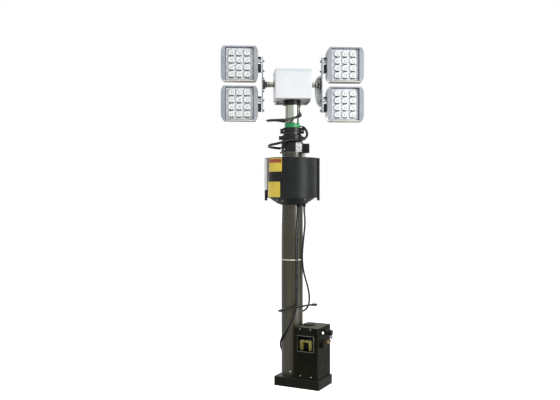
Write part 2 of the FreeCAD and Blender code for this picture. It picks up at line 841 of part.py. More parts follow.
def pan_bearing():
    flange_top = S.chassis_bottom + S.chassis_lip - S.running_gap
    flange = turned("pan_flange", [
        (0, S.pole_top), (S.pan_flange_radius, S.pole_top), (S.pan_flange_radius, flange_top),
        (S.pan_spindle_radius, flange_top), (S.pan_spindle_radius, flange_top + S.pan_spindle_length),
        (0, flange_top + S.pan_spindle_length),
    ], keep_it=False)
    outlet = sketch(flange, "XY_Plane", S.pole_top)
    half = S.cable_outlet_half
    rectangle(outlet, S.cable_outlet_x - half, S.cable_outlet_y - half,
              S.cable_outlet_x + half, S.cable_outlet_y + half)
    pad(flange, outlet, S.cable_outlet_height)
    keep(flange, "pan_flange", S.drum_turn)


def head():
    under = S.chassis_bottom + S.chassis_lip
    floor = S.chassis_floor
    chassis = body("head_chassis")
    outside = sketch(chassis, "XY_Plane", S.chassis_bottom)
    rectangle(outside, -S.chassis_half, -S.chassis_half, S.chassis_half, S.chassis_half)
    pad(chassis, outside, S.chassis_lip + S.chassis_thickness)
    recess = sketch(chassis, "XY_Plane", S.chassis_bottom)
    edge = S.chassis_half - S.cover_wall
    rectangle(recess, -edge, -S.chassis_half, edge, edge)
    pocket(chassis, recess, S.chassis_lip)
    rim = sketch(chassis, "XY_Plane", under)
    edge = S.cover_half - S.cover_wall - S.seat_gap
    rectangle(rim, -edge, -edge, edge, edge)
    pad(chassis, rim, S.chassis_thickness)
    bore = sketch(chassis, "XY_Plane", under)
    circle(bore, 0, 0, S.pan_spindle_radius + S.fit_gap)
    pocket(chassis, bore, S.chassis_thickness)
    keep(chassis, "head_chassis", S.head_turn)

    drive = body("tilt_drive")
    outside = sketch(drive, "XY_Plane", floor)
    rectangle(outside, -S.drive_half_width, -S.drive_half_depth, S.drive_half_width, S.drive_half_depth)
    pad(drive, outside, S.tilt_rise + S.drive_cap)
    spindle_bore = sketch(drive, "XY_Plane", floor)
    circle(spindle_bore, 0, 0, S.pan_spindle_radius + S.fit_gap)
    pocket(drive, spindle_bore, S.pan_spindle_length)
    shaft_bore = sketch(drive, "YZ_Plane", -S.drive_half_width)
    circle(shaft_bore, 0, S.tilt_height, S.shaft_radius + S.fit_gap)
    pocket(drive, shaft_bore, S.drive_half_width * 2)
    keep(drive, "tilt_drive", S.head_turn)

    cover = body("head_cover")
    outside = sketch(cover, "XY_Plane", under)
    rounded_rectangle(outside, -S.cover_half, -S.cover_half, S.cover_half, S.cover_half, S.edge_round)
    pad(cover, outside, S.cover_top - under)
    inside = sketch(cover, "XY_Plane", under)
    edge = S.cover_half - S.cover_wall
    rectangle(inside, -edge, -edge, edge, edge)
    pocket(cover, inside, S.cover_top - under)
    shaft_hole = sketch(cover, "YZ_Plane", -S.cover_half)
    circle(shaft_hole, 0, S.tilt_height, S.shaft_radius + S.shaft_hole_gap)
    pocket(cover, shaft_hole, S.cover_half * 2)
    keep(cover, "head_cover", S.head_turn)

    lid = body("head_lid")
    outside = sketch(lid, "XY_Plane", S.cover_top)
    rounded_rectangle(outside, -S.cover_half, -S.cover_half, S.cover_half, S.cover_half, S.edge_round)
    pad(lid, outside, S.lid_height)
    inside = sketch(lid, "XY_Plane", S.cover_top)
    rectangle(inside, -edge, -edge, edge, edge)
    pocket(lid, inside, S.lid_height - S.cover_wall)
    keep(lid, "head_lid", S.head_turn)


def shaft_and_bars():
    shaft = body("tilt_shaft")
    reach = S.bar_inner - S.bar_flange_thickness
    bar = sketch(shaft, "YZ_Plane", -reach)
    circle(bar, 0, S.tilt_height, S.shaft_radius)
    pad(shaft, bar, reach * 2)
    keep(shaft, "tilt_shaft", S.head_turn)

    for side, name in ((-1, "left"), (1, "right")):
        owner = body("lamp_bar_" + name)
        inner = S.bar_inner * side
        low = inner if side > 0 else inner - S.bar_thickness
        face = sketch(owner, "YZ_Plane", low)
        rounded_rectangle(face, -S.bar_half_width, S.tilt_height - S.bar_half_length,
                          S.bar_half_width, S.tilt_height + S.bar_half_length, S.bar_end_round)
        pad(owner, face, S.bar_thickness)
        low = inner - S.bar_flange_thickness if side > 0 else inner
        flange = sketch(owner, "YZ_Plane", low)
        circle(flange, 0, S.tilt_height, S.bar_flange_radius)
        pad(owner, flange, S.bar_flange_thickness)
        keep(owner, owner.Name, S.head_turn)


def knuckles():
    """The black mounts between bar and lamps: a cheek on the bar, a block and a pivot spacer each."""
    for side, name in ((-1, "left"), (1, "right")):
        pair = []
        near = (S.bar_inner + S.bar_thickness) * side
        width = S.knuckle_width
        for level in (-1, 1):
            owner = body("knuckle_%s_%d" % (name, level + 1))
            middle = S.tilt_height + S.lamp_rise * level
            low = near if side > 0 else near - S.knuckle_plate
            cheek = sketch(owner, "YZ_Plane", low)
            rounded_rectangle(cheek, -S.knuckle_depth / 2, middle - S.knuckle_height / 2,
                              S.knuckle_depth / 2, middle + S.knuckle_height / 2, S.bar_end_round)
            pad(owner, cheek, S.knuckle_plate)
            low = near if side > 0 else near - width
            block = sketch(owner, "YZ_Plane", low)
            rounded_rectangle(block, -S.knuckle_depth / 2, middle - S.knuckle_height / 2,
                              S.knuckle_depth / 2, middle - S.knuckle_height / 2 + S.knuckle_block_height,
                              S.bar_end_round)
            pad(owner, block, width)
            spacer = sketch(owner, "YZ_Plane", low)
            circle(spacer, 0, middle + S.knuckle_height / 4, S.knuckle_bolt_radius)
            pad(owner, spacer, width)
            pair.append(turn_about_mast(owner, S.head_turn))
        keep(together("knuckles_" + name, *pair), "knuckles_" + name)


# Lamps: a finned casting between two bowed end caps, and twelve lenses on a plate

def lamp_housing(name):
    half = S.lamp_height / 2
    front = -S.lamp_depth / 2
    owner = body("lamp_housing_" + name)
    wide = S.lamp_body_width / 2
    back_front = front + S.lamp_recess
    back = sketch(owner, "XZ_Plane", back_front)
    rectangle(back, -wide, -half, wide, half)
    pad(owner, back, S.lamp_back)
    for level in (-1, 1):
        lip = sketch(owner, "XZ_Plane", front)
        edge = half * level
        inner = (half - S.lamp_lip) * level
        low, high = (edge, inner) if level < 0 else (inner, edge)
        rectangle(lip, -wide, low, wide, high)
        pad(owner, lip, S.lamp_recess)
    fin = sketch(owner, "XZ_Plane", back_front + S.lamp_back)
    rectangle(fin, -wide, -half, wide, -half + S.fin_thickness)
    first = pad(owner, fin, S.lamp_depth - S.lamp_recess - S.lamp_back)
    repeat(owner, first, "Z_Axis", S.lamp_height - S.fin_thickness, S.fin_count)
    for side in (-1, 1):
        cap = sketch(owner, "XZ_Plane", front)
        inner = wide * side
        end = (wide + S.cap_end_width) * side
        outer = S.lamp_width * (0.5 * side)
        bend = half - S.cap_shoulder
        if side > 0:
            outline(cap, [(inner, -half), (end, -half, S.cap_curve), (outer, -bend), (outer, bend, S.cap_curve),
                          (end, half), (inner, half)])
        else:
            outline(cap, [(inner, half), (end, half, S.cap_curve), (outer, bend), (outer, -bend, S.cap_curve),
                          (end, -half), (inner, -half)])
        pad(owner, cap, S.lamp_depth)
    corners = sketch(owner, "YZ_Plane", -S.lamp_width / 2)
    rear = S.lamp_depth / 2
    slope = S.cap_rear_cut
    spare = 1
    outline(corners, [(rear - slope, half + spare), (rear, half - slope), (rear + spare, half - slope),
                      (rear + spare, half + spare)])
    outline(corners, [(rear, -half + slope), (rear - slope, -half - spare), (rear + spare, -half - spare),
                      (rear + spare, -half + slope)])
    pocket(owner, corners, S.lamp_width)
    return owner


def lamp_lenses(name):
    owner = body("lens_plate_" + name)
    half = S.lamp_height / 2 - S.lamp_lip - S.seat_gap
    wide = S.lamp_body_width / 2 - S.seat_gap
    seat = -S.lamp_depth / 2 + S.lamp_recess
    plate = sketch(owner, "XZ_Plane", seat - S.lens_plate)
    rectangle(plate, -wide, -half, wide, half)
    pad(owner, plate, S.lens_plate)
    for column in (-1, 0, 1):
        for level in (-1.5, -0.5, 0.5, 1.5):
            wide_end = sketch(owner, "XZ_Plane", seat - S.lens_plate)
            circle(wide_end, S.lens_pitch_x * column, S.lens_pitch_z * level, S.lens_radius)
            narrow_end = sketch(owner, "XZ_Plane", seat - S.lens_plate - S.lens_height)
            circle(narrow_end, S.lens_pitch_x * column, S.lens_pitch_z * level, S.lens_tip_radius)
            cone = owner.newObject("PartDesign::AdditiveLoft", owner.Name + "_lens")
            cone.Profile = wide_end
            cone.Sections = [narrow_end]
    doc.recompute()
    return owner


def lamps():
    for side, across in ((-1, "left"), (1, "right")):
        lenses = []
        for level, up in ((1, "upper"), (-1, "lower")):
            x = S.lamp_offset * side
            z = S.tilt_height + S.lamp_rise * level
            name = up + "_" + across
            keep(carry(lamp_housing(name), x, z), "lamp_housing_" + name)
            lenses.append(carry(lamp_lenses(name), x, z))
        keep(together("lenses_" + across, *lenses), "lenses_" + across)


def carry(item, x, z):
    """Sets a piece, drawn about its own middle, at x and z on the turned head."""
    item.setExpression(".Placement.Base.x", "%s * cos(%s * 1 deg)" % (x.text, S.head_turn.text))
    item.setExpression(".Placement.Base.y", "%s * sin(%s * 1 deg)" % (x.text, S.head_turn.text))
    item.setExpression(".Placement.Base.z", z.text)
    turn = math.radians(S.head_turn.value)
    base = Vector(x.value * math.cos(turn), x.value * math.sin(turn), z.value)
    item.Placement = FreeCAD.Placement(base, FreeCAD.Rotation(UP, S.head_turn.value))
    item.setExpression(".Placement.Rotation.Angle", S.head_turn.text + " * 1 deg")
    return item


# Cables: straight runs joined by tangent arcs. Routes in the drum's frame, which is turned by drum_turn

FRONT_CABLE = [
    (43, -61, 1046), (43, -61, 1014), (38, -67, 962), (35, -70, 908), (33, -71, 855), (32, -71, 801),
    (32, -70, 748), (31, -70, 695), (32, -70, 642), (32, -71, 588), (31, -71, 535), (28, -72, 482),
    (20, -73, 436), (4, -74, 393), (-19, -70, 353), (-41, -60, 313), (-60, -40, 273), (-70, -11, 235),
    (-70, 20, 197), (-60, 47, 161), (-46, 66, 130), (-33, 77, 107), (-24, 83, 92), (-21, 84, 82), (-21, 84, 72),
]
WRAPPED_CABLE = [
    (71, -30, 1046), (71, -30, 1018), (76, -33, 970), (74, -34, 922), (69, -36, 874), (64, -39, 827),
    (60, -39, 779), (60, -40, 732), (64, -39, 685), (74, -36, 638), (88, -30, 592), (98, -19, 547),
    (103, -2, 503), (99, 20, 461), (81, 44, 426), (46, 66, 408), (0, 77, 404), (-46, 70, 410),
    (-76, 35, 420), (-83, -10, 430), (-68, -53, 441), (-31, -81, 452), (14, -92, 462), (60, -89, 470),
    (92, -80, 475), (113, -70, 475),
]
COIL_TOP = [
    (38, 44, 1647), (38, 44, 1634), (39, 41, 1619), (43, 32, 1605), (49, 16, 1595), (52, -4, 1588),
    (48, -25, 1582), (37, -46, 1576), (19, -63, 1569), (-6, -78, 1562), (-35, -91, 1556),
    (-68, -99, 1551), (-102, -94, 1550), (-130, -74, 1551), (-147, -42, 1552), (-151, -7, 1553),
    (-144, 29, 1553), (-123, 60, 1551), (-92, 81, 1546), (-56, 91, 1540), (-19, 91, 1533), (17, 80, 1526),
    (44, 56, 1521), (59, 20, 1518.5), (63, 0, 1517.5),
]
COIL_MIDDLE = [
    (63, 0, 1517.5), (66, -15, 1516.75), (76, -37, 1504), (88, -50, 1483), (87, -61, 1459),
    (68, -69, 1442), (43, -71, 1436), (16, -71, 1435.5), (0, -71, 1435.5),
]
COIL_BOTTOM = [
    (0, -71, 1435.5), (-21, -71, 1435.5), (-54, -78, 1425), (-87, -78, 1416), (-117, -62, 1412),
    (-136, -33, 1408), (-142, 1, 1405), (-134, 35, 1402), (-112, 62, 1400), (-83, 81, 1398),
    (-52, 93, 1397), (-23, 99, 1393), (1, 101, 1382), (14, 101, 1359), (14, 101, 1337),
]
# Route on the lamp head, which is turned by head_turn
LAMP_LEAD = [
    (173, 12, 1816), (164, 12, 1816), (152, 15, 1812), (144, 22, 1801), (140, 29, 1785), (139, 32, 1766),
    (139, 32, 1744), (139, 30, 1721), (141, 25, 1700), (145, 19, 1681), (149, 15, 1666), (154, 12, 1655),
    (163, 11, 1649), (173, 11, 1649),
]

# The part of the shorter run next to a corner that its arc takes up
CORNER_SHARE = 0.45


def cable_path(name, points):
    """The wire through the points, each corner rounded as widely as its two runs allow."""
    corners = [Vector(*[value_of(c) for c in p]) for p in points]
    edges = []
    start = corners[0]
    radii = []
    for before, corner, after in zip(corners, corners[1:], corners[2:]):
        into = (corner - before).normalize()
        out = (after - corner).normalize()
        turn = into.getAngle(out)
        reach = CORNER_SHARE * min((corner - before).Length, (after - corner).Length)
        radius = reach / math.tan(turn / 2)
        radii.append(radius)
        enter = corner - into * reach
        leave = corner + out * reach
        inward = (out - into).normalize()
        middle = corner + inward * (radius / math.cos(turn / 2) - radius)
        edges.append(Part.LineSegment(start, enter).toShape())
        edges.append(Part.Arc(enter, middle, leave).toShape())
        start = leave
    edges.append(Part.LineSegment(start, corners[-1]).toShape())
    print("%s: radii from %.0f to %.0f mm" % (name, min(radii), max(radii)))
    return Part.Wire(edges)


def cable(label, points, radius, turn):
    """A plain round tube along a route, turned about the mast axis."""
    path = cable_path(label, points)
    start = path.Edges[0]
    direction = start.tangentAt(start.FirstParameter)
    ends = Part.Wire(Part.makeCircle(value_of(radius), start.valueAt(start.FirstParameter), direction))
    solid = path.makePipeShell([ends], True, False)
    wanted = math.pi * value_of(radius) ** 2 * path.Length
    if abs(solid.Volume - wanted) > 0.01 * wanted:
        raise RuntimeError("%s: volume %.0f, not %.0f" % (label, solid.Volume, wanted))
    print("%s: %.0f mm long" % (label, path.Length))
    item = doc.addObject("Part::Feature", label)
    item.Shape = solid
    keep(item, label, turn)


def gland(name, x, y, low, height):
    owner = body(name)
    face = sketch(owner, "XY_Plane", low)
    circle(face, x, y, S.gland_radius)
    pad(owner, face, height)
    return turn_about_mast(owner, S.drum_turn)


def cables():
    low = S.drum_bottom - S.drum_dish_depth - S.gland_length
    lid_top = S.drum_top - S.drum_lid_recess
    glands = [
        gland("front_gland", *FRONT_CABLE[0][:2], low, S.gland_length),
        gland("wrapped_gland", *WRAPPED_CABLE[0][:2], low, S.gland_length),
        gland("lid_gland", *COIL_BOTTOM[-1][:2], lid_top, S.lid_gland_height),
        gland("foot_gland", *FRONT_CABLE[-1][:2], S.base_height, S.gland_length),
    ]
    keep(together("cable_glands", *glands), "cable_glands")
    cable("front_cable", FRONT_CABLE, S.cable_radius, S.drum_turn)
    cable("wrapped_cable", WRAPPED_CABLE, S.cable_radius, S.drum_turn)
    cable("coil_cable_top", COIL_TOP, S.coil_cable_radius, S.drum_turn)
    cable("coil_cable_middle", COIL_MIDDLE, S.coil_cable_radius, S.drum_turn)
    cable("coil_cable_bottom", COIL_BOTTOM, S.coil_cable_radius, S.drum_turn)
    cable("lamp_lead", LAMP_LEAD, S.lead_radius, S.head_turn)
    end = Vector(*WRAPPED_CABLE[-1])
    along = end - Vector(*WRAPPED_CABLE[-2])
    sleeve = Part.makeCylinder(S.plug_sleeve_radius.value, S.plug_sleeve_length.value, end, along)
    along.normalize()
    shell_start = end + along * S.plug_sleeve_length.value
    shell = Part.makeCylinder(S.plug_shell_radius.value, S.plug_shell_length.value, shell_start, along)
    item = doc.addObject("Part::Feature", "cable_plug")
    item.Shape = sleeve.fuse(shell)
    keep(item, "cable_plug", S.drum_turn)


def check():
    """Every object is computed and every sub-part is one or more good solids."""
    doc.recompute()
    for item in doc.Objects:
        if {"Invalid", "Error"} & set(item.State):
            raise RuntimeError("%s: %s" % (item.Name, item.State))
    for item in nodes:
        if item.Shape.isNull() or not item.Shape.isValid() or not item.Shape.Solids:
            raise RuntimeError(item.Label + ": not a good solid")


for make in (base, mast, drum, junction, control_box, box_inside, box_fittings, pan_bearing, head, shaft_and_bars,
             knuckles, lamps, cables, check):
    make()

os.makedirs("parts", exist_ok=True)
for item in nodes:
    item.Shape.exportStep("parts/%s.step" % item.Label)
print("%d sub-parts" % len(nodes))
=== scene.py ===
"""Looks of the telescopic light mast. Lengths in the lists and calls are millimetres in the part's own frame,
turned about the mast's axis where HEAD or DRUM is named."""

import json
import math

import bmesh
import bpy
from mathutils import Matrix, Vector

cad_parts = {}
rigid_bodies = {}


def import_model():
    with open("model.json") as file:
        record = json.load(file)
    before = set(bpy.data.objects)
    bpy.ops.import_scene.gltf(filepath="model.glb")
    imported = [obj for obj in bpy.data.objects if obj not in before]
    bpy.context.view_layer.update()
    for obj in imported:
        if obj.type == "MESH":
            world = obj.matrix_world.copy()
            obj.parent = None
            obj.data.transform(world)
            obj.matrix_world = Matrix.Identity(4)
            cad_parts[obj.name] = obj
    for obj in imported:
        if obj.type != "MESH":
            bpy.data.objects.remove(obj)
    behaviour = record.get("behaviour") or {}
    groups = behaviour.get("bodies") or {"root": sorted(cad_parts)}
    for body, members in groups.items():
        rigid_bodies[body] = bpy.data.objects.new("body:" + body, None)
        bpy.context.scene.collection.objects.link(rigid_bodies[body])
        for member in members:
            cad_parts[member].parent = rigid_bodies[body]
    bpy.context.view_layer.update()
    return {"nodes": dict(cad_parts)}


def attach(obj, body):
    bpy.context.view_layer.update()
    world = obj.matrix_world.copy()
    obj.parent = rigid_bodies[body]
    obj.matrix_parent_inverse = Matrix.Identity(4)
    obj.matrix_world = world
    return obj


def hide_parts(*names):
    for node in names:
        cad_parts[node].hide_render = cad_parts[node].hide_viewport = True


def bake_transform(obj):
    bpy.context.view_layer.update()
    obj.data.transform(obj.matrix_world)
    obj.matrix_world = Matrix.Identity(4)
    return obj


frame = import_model()

MM = 0.001
SQUARE = Matrix.Identity(4)
shift = Matrix.Translation
FRONT, BACK, RIGHT, UP, DOWN = (0, -1, 0), (0, 1, 0), (1, 0, 0), (0, 0, 1), (0, 0, -1)


def about_z(degrees):
    return Matrix.Rotation(math.radians(degrees), 4, "Z")


def grid(columns, rows):
    """Every pair of a column and a row, one column after the other."""
    return [(column, row) for column in columns for row in rows]


def circle(count):
    """Cosine and sine of count even steps round a circle."""
    return [(math.cos(math.tau * k / count), math.sin(math.tau * k / count)) for k in range(count)]


HEAD = about_z(31)
DRUM = about_z(26)
LYING = Matrix.Rotation(math.pi / 2, 4, "X")


# Camera: the photograph's place, 4.2 m from the mast at chest height

def make_camera():
    aim, yaw, pitch = -0.455, 0.017, 0.014
    spin = Matrix.Rotation(-aim, 3, "Z")
    right = spin @ Vector((math.cos(yaw), math.cos(pitch) * math.sin(yaw), -math.sin(pitch) * math.sin(yaw)))
    ahead = spin @ Vector((-math.sin(yaw), math.cos(pitch) * math.cos(yaw), -math.sin(pitch) * math.cos(yaw)))
    up = right.cross(ahead)
    data = bpy.data.cameras.new("camera")
    data.sensor_width = 36
    data.lens = 46.02
    camera = bpy.data.objects.new("camera", data)
    bpy.context.scene.collection.objects.link(camera)
    turned = Matrix((right, up, -ahead)).transposed().to_4x4()
    camera.matrix_world = shift((1.866, -3.814, 1.146)) @ turned
    bpy.context.scene.camera = camera


make_camera()


# Materials

def srgb(red, green, blue):
    """A colour as it looks on screen, 0 to 255, for a shader's socket."""
    parts = []
    for value in (red, green, blue):
        value /= 255
        parts.append(value / 12.92 if value <= 0.04045 else ((value + 0.055) / 1.055) ** 2.4)
    return (*parts, 1)


class Tree:
    """A node tree and the calls that fill it."""

    def __init__(self, owner):
        owner.use_nodes = True
        self.tree = owner.node_tree

    def node(self, kind, **values):
        """A new node, its values set by attribute or by socket."""
        made = self.tree.nodes.new(kind)
        for key, value in values.items():
            if key in made.inputs:
                made.inputs[key].default_value = value
            else:
                setattr(made, key, value)
        return made

    def link(self, out, into):
        self.tree.links.new(out, into)


class Look(Tree):
    """A Principled material and the nodes that vary it over the surface."""

    def __init__(self, name, colour, roughness, **sockets):
        self.material = bpy.data.materials.new(name)
        super().__init__(self.material)
        self.shader = self.tree.nodes["Principled BSDF"]
        self.set("Base Color", srgb(*colour))
        self.set("Roughness", roughness)
        self.material.diffuse_color = srgb(*colour)
        for socket, value in sockets.items():
            self.set(socket.replace("_", " "), value)
        self.normal = None

    def set(self, socket, value):
        self.shader.inputs[socket].default_value = value

    def place(self, stretch):
        where = self.node("ShaderNodeTexCoord")
        scaled = self.node("ShaderNodeMapping", Scale=stretch)
        self.link(where.outputs["Object"], scaled.inputs["Vector"])
        return scaled.outputs["Vector"]

    def noise(self, scale, detail, stretch=(1, 1, 1)):
        made = self.node("ShaderNodeTexNoise", Scale=scale, Detail=detail, Roughness=0.55)
        self.link(self.place(stretch), made.inputs["Vector"])
        return made.outputs["Fac"]

    def tint(self, value, *stops):
        """Colours over a value: (position, colour) stops."""
        ramp = self.node("ShaderNodeValToRGB")
        band = ramp.color_ramp
        while len(band.elements) < len(stops):
            band.elements.new(0.5)
        for element, (position, colour) in zip(band.elements, stops):
            element.position = position
            element.color = srgb(*colour)
        self.link(value, ramp.inputs["Fac"])
        self.link(ramp.outputs["Color"], self.shader.inputs["Base Color"])
        return ramp.outputs["Color"]

    def over(self, below, value, colour):
        """A second colour laid over the first where value is high."""
        mix = self.node("ShaderNodeMix", data_type="RGBA")
        self.link(value, mix.inputs[0])
        self.link(below, mix.inputs[6])
        mix.inputs[7].default_value = srgb(*colour)
        self.link(mix.outputs[2], self.shader.inputs["Base Color"])
        return mix.outputs[2]

    def spread(self, value, low, high, start=0.3, end=0.7):
        made = self.node("ShaderNodeMapRange")
        for index, number in enumerate((start, end, low, high)):
            made.inputs[index + 1].default_value = number
        self.link(value, made.inputs["Value"])
        return made.outputs["Result"]

    def gloss(self, value, low, high):
        self.link(self.spread(value, low, high), self.shader.inputs["Roughness"])

    def edges(self, radius):
        """High along the outer edges: the mask for wear and for a painted highlight on the edges."""
        soft = self.node("ShaderNodeBevel", samples=6, Radius=radius)
        plain = self.node("ShaderNodeNewGeometry")
        dot = self.node("ShaderNodeVectorMath", operation="DOT_PRODUCT")
        self.link(soft.outputs["Normal"], dot.inputs[0])
        self.link(plain.outputs["Normal"], dot.inputs[1])
        return self.spread(dot.outputs["Value"], 0, 1, 0.985, 0.93)

    def round(self, radius):
        made = self.node("ShaderNodeBevel", samples=6, Radius=radius)
        self.link(made.outputs["Normal"], self.shader.inputs["Normal"])
        self.normal = made.outputs["Normal"]

    def bump(self, value, distance):
        made = self.node("ShaderNodeBump", Distance=distance, Strength=1.0)
        self.link(value, made.inputs["Height"])
        if self.normal is not None:
            self.link(self.normal, made.inputs["Normal"])
        self.link(made.outputs["Normal"], self.shader.inputs["Normal"])
        self.normal = made.outputs["Normal"]


def painted(name, dark, light, roughness, grain=900, depth=0.00004, wear_and_highlight=None, round_edge=0.001, **sockets):
    """Powder or cast paint: soft mottling, an orange peel skin, and a paler colour on the edges that is partly wear
    and partly painted highlight.
    """
    look = Look(name, light, roughness, **sockets)
    look.round(round_edge)
    colour = look.tint(look.noise(7, 4), (0.35, dark), (0.65, light))
    # Paler edges: partly wear, partly a painted highlight where edges would catch the light.
    if wear_and_highlight is not None:
        look.over(colour, look.edges(round_edge * 1.2), wear_and_highlight)
    look.gloss(look.noise(23, 3), roughness - 0.06, roughness + 0.08)
    look.bump(look.noise(grain, 2), depth)
    return look


def metal(name, dark, light, roughness, stretch=(1, 1, 1), scale=60.0, depth=0.00002, round_edge=0.0006,
          metallic=1.0, **sockets):
    """Bare or anodised metal with a drawn or turned grain."""
    look = Look(name, light, roughness, Metallic=metallic, **sockets)
    look.round(round_edge)
    look.tint(look.noise(scale, 4, stretch), (0.3, dark), (0.7, light))
    look.gloss(look.noise(scale * 1.7, 3, stretch), roughness - 0.07, roughness + 0.1)
    look.bump(look.noise(scale * 6, 3, stretch), depth)
    return look


ALONG_MAST = (1, 1, 0.03)
LOOKS = {
    "plinth": painted("plinth_paint", (15, 17, 11), (22, 24, 17), 0.38, wear_and_highlight=(66, 68, 56), Specular_IOR_Level=0.1),
    "box": painted("box_paint", (15, 16, 9), (23, 23, 14), 0.44, wear_and_highlight=(58, 58, 45), Specular_IOR_Level=0.06),
    "drum": painted("drum_paint", (24, 27, 26), (33, 37, 35), 0.36, grain=420, depth=0.00003, wear_and_highlight=(62, 66, 64),
                    Specular_IOR_Level=0.15),
    "olive_tube": metal("olive_tube", (38, 36, 23), (60, 56, 36), 0.28, ALONG_MAST, metallic=0.0,
                        Specular_IOR_Level=0.6),
    "band": metal("band_metal", (66, 65, 54), (88, 87, 74), 0.24, metallic=0.2, Specular_IOR_Level=0.8),
    "bright_band": metal("bright_band", (196, 196, 182), (222, 221, 208), 0.4, metallic=0.3),
    "bright_tube": metal("bright_tube", (160, 165, 153), (188, 192, 181), 0.26, ALONG_MAST, 90.0),
    "black": painted("black_metal", (12, 13, 13), (20, 21, 21), 0.32, wear_and_highlight=(60, 62, 62), round_edge=0.0008,
                     Specular_IOR_Level=0.3),
    "plastic": painted("black_plastic", (12, 13, 13), (20, 21, 21), 0.46, grain=1400, round_edge=0.0008,
                             Specular_IOR_Level=0.2),
    "milled": metal("milled_metal", (206, 208, 208), (230, 231, 230), 0.36, (1, 1, 12), 40.0),
    "steel": metal("plated_steel", (150, 154, 156), (196, 200, 204), 0.3),
    "zinc": metal("bright_zinc", (214, 216, 214), (238, 240, 238), 0.3, metallic=0.8),
    "dark_steel": metal("dark_steel", (58, 60, 58), (88, 90, 87), 0.34),
    "shaft": metal("shaft_steel", (132, 128, 122), (170, 165, 158), 0.18, (1, 12, 12), 20.0),
    "frame": metal("window_frame", (40, 42, 37), (60, 62, 56), 0.4),
    "bead": metal("frame_bead", (126, 126, 112), (150, 150, 136), 0.34),
    "chrome": metal("chrome", (208, 210, 212), (232, 234, 236), 0.12, depth=0.000004),
    "brass": metal("brass", (128, 112, 66), (160, 144, 94), 0.36, scale=120.0),
    "bronze": painted("sintered_bronze", (112, 92, 54), (152, 128, 82), 0.62, grain=2200, depth=0.00025,
                      Metallic=0.8),
    "copper": metal("copper", (150, 92, 50), (186, 124, 76), 0.4),
    "green": painted("green_ring", (16, 120, 66), (34, 166, 98), 0.4, round_edge=0.0006),
    "rubber": painted("cable_rubber", (10, 11, 11), (18, 19, 19), 0.3, grain=1800, depth=0.00003,
                      Specular_IOR_Level=0.45),
    "conduit": painted("grey_conduit", (200, 203, 204), (222, 225, 226), 0.5, grain=1500),
    "grey": painted("grey_paint", (158, 161, 160), (180, 183, 182), 0.45, wear_and_highlight=(196, 198, 199)),
    "bar": painted("bar_paint", (150, 155, 161), (172, 177, 183), 0.42, wear_and_highlight=(196, 200, 205)),
    "white": painted("white_paint", (203, 205, 208), (212, 214, 217), 0.42, grain=700, round_edge=0.002),
    # The lid's paint is a darker copy of the cover's white: painted shade.
    "pale": painted("pale_paint", (190, 196, 199), (200, 206, 208), 0.42, grain=700, round_edge=0.002),
    "lamp": painted("lamp_paint", (136, 141, 146), (153, 158, 163), 0.46, grain=800, depth=0.00005),
    "lamp_lip": painted("lamp_lip", (190, 184, 168), (208, 203, 190), 0.5),
    "lamp_face": painted("lamp_face", (234, 238, 243), (243, 246, 249), 0.42),
    # The seal's dark colour also paints the shade at the recess's edges.
    "seal": painted("lamp_seal_painted_shade", (62, 68, 84), (86, 93, 108), 0.55, grain=1300),
    # Near-white that paints the bright reflection on the drum's left flange.
    "strip": painted("hinge_strip_painted_reflection", (248, 249, 246), (253, 253, 251), 0.4, round_edge=0.0005),
    "lens_shadow": painted("painted_lens_shadow", (34, 38, 50), (50, 55, 68), 0.5, grain=1300),
    "yellow": painted("yellow_plastic", (178, 160, 82), (202, 184, 104), 0.42, grain=1100),
    "plate_yellow": painted("plate_yellow", (205, 178, 58), (222, 197, 78), 0.4, grain=1000, depth=0.00001),
    "plate_red": painted("plate_red", (136, 54, 22), (154, 70, 30), 0.42, grain=1000, depth=0.00001),
    "white_plastic": painted("white_plastic", (205, 206, 204), (228, 229, 227), 0.4, grain=1100),
}


def clear(name, colour, roughness, **sockets):
    """A see-through pane or bowl."""
    look = Look(name, colour, roughness, Transmission_Weight=1.0, **sockets)
    look.gloss(look.noise(40, 3), roughness, roughness + 0.06)
    look.bump(look.noise(120, 2), 0.00001)
    return look


def moulded(name, colour, roughness, scale, detail, dark, light, **sockets):
    """Milky plastic of the lenses."""
    look = Look(name, colour, roughness, **sockets)
    look.tint(look.noise(scale, detail), (0.3, dark), (0.7, light))
    return look


LOOKS["glass"] = clear("clear_glass", (226, 230, 222), 0.02, IOR=1.12, Specular_IOR_Level=0.0)
LOOKS["bowl"] = clear("clear_bowl", (206, 214, 220), 0.06, IOR=1.49)
LOOKS["lens"] = moulded("lens_plastic", (238, 240, 238), 0.2, 160, 2, (228, 231, 230), (242, 243, 240),
                        Transmission_Weight=0.15, IOR=1.49, Coat_Weight=0.3)
LOOKS["lens"].bump(LOOKS["lens"].noise(900, 2), 0.00004)
LOOKS["lens_wall"] = moulded("lens_wall", (206, 211, 218), 0.25, 120, 3, (196, 201, 210), (218, 223, 229),
                             Transmission_Weight=0.1, IOR=1.49)
LOOKS["lens_eye"] = moulded("lens_eye", (168, 172, 170), 0.3, 200, 3, (152, 156, 152), (184, 187, 182),
                            Coat_Weight=0.3)


def painted_top_light(look, colour):
    """Faces that look up get a paler colour: painted light on the tops."""
    up = look.node("ShaderNodeSeparateXYZ")
    look.link(look.node("ShaderNodeNewGeometry").outputs["Normal"], up.inputs[0])
    base = look.shader.inputs["Base Color"].links[0].from_socket
    look.over(base, look.spread(up.outputs["Z"], 0, 0.85, 0.5, 0.95), colour)


# Painted light: the upward faces of the control box and the plinth are drawn paler.
painted_top_light(LOOKS["box"], (74, 76, 62))
painted_top_light(LOOKS["plinth"], (44, 46, 36))


def look_of(name):
    return LOOKS[name].material


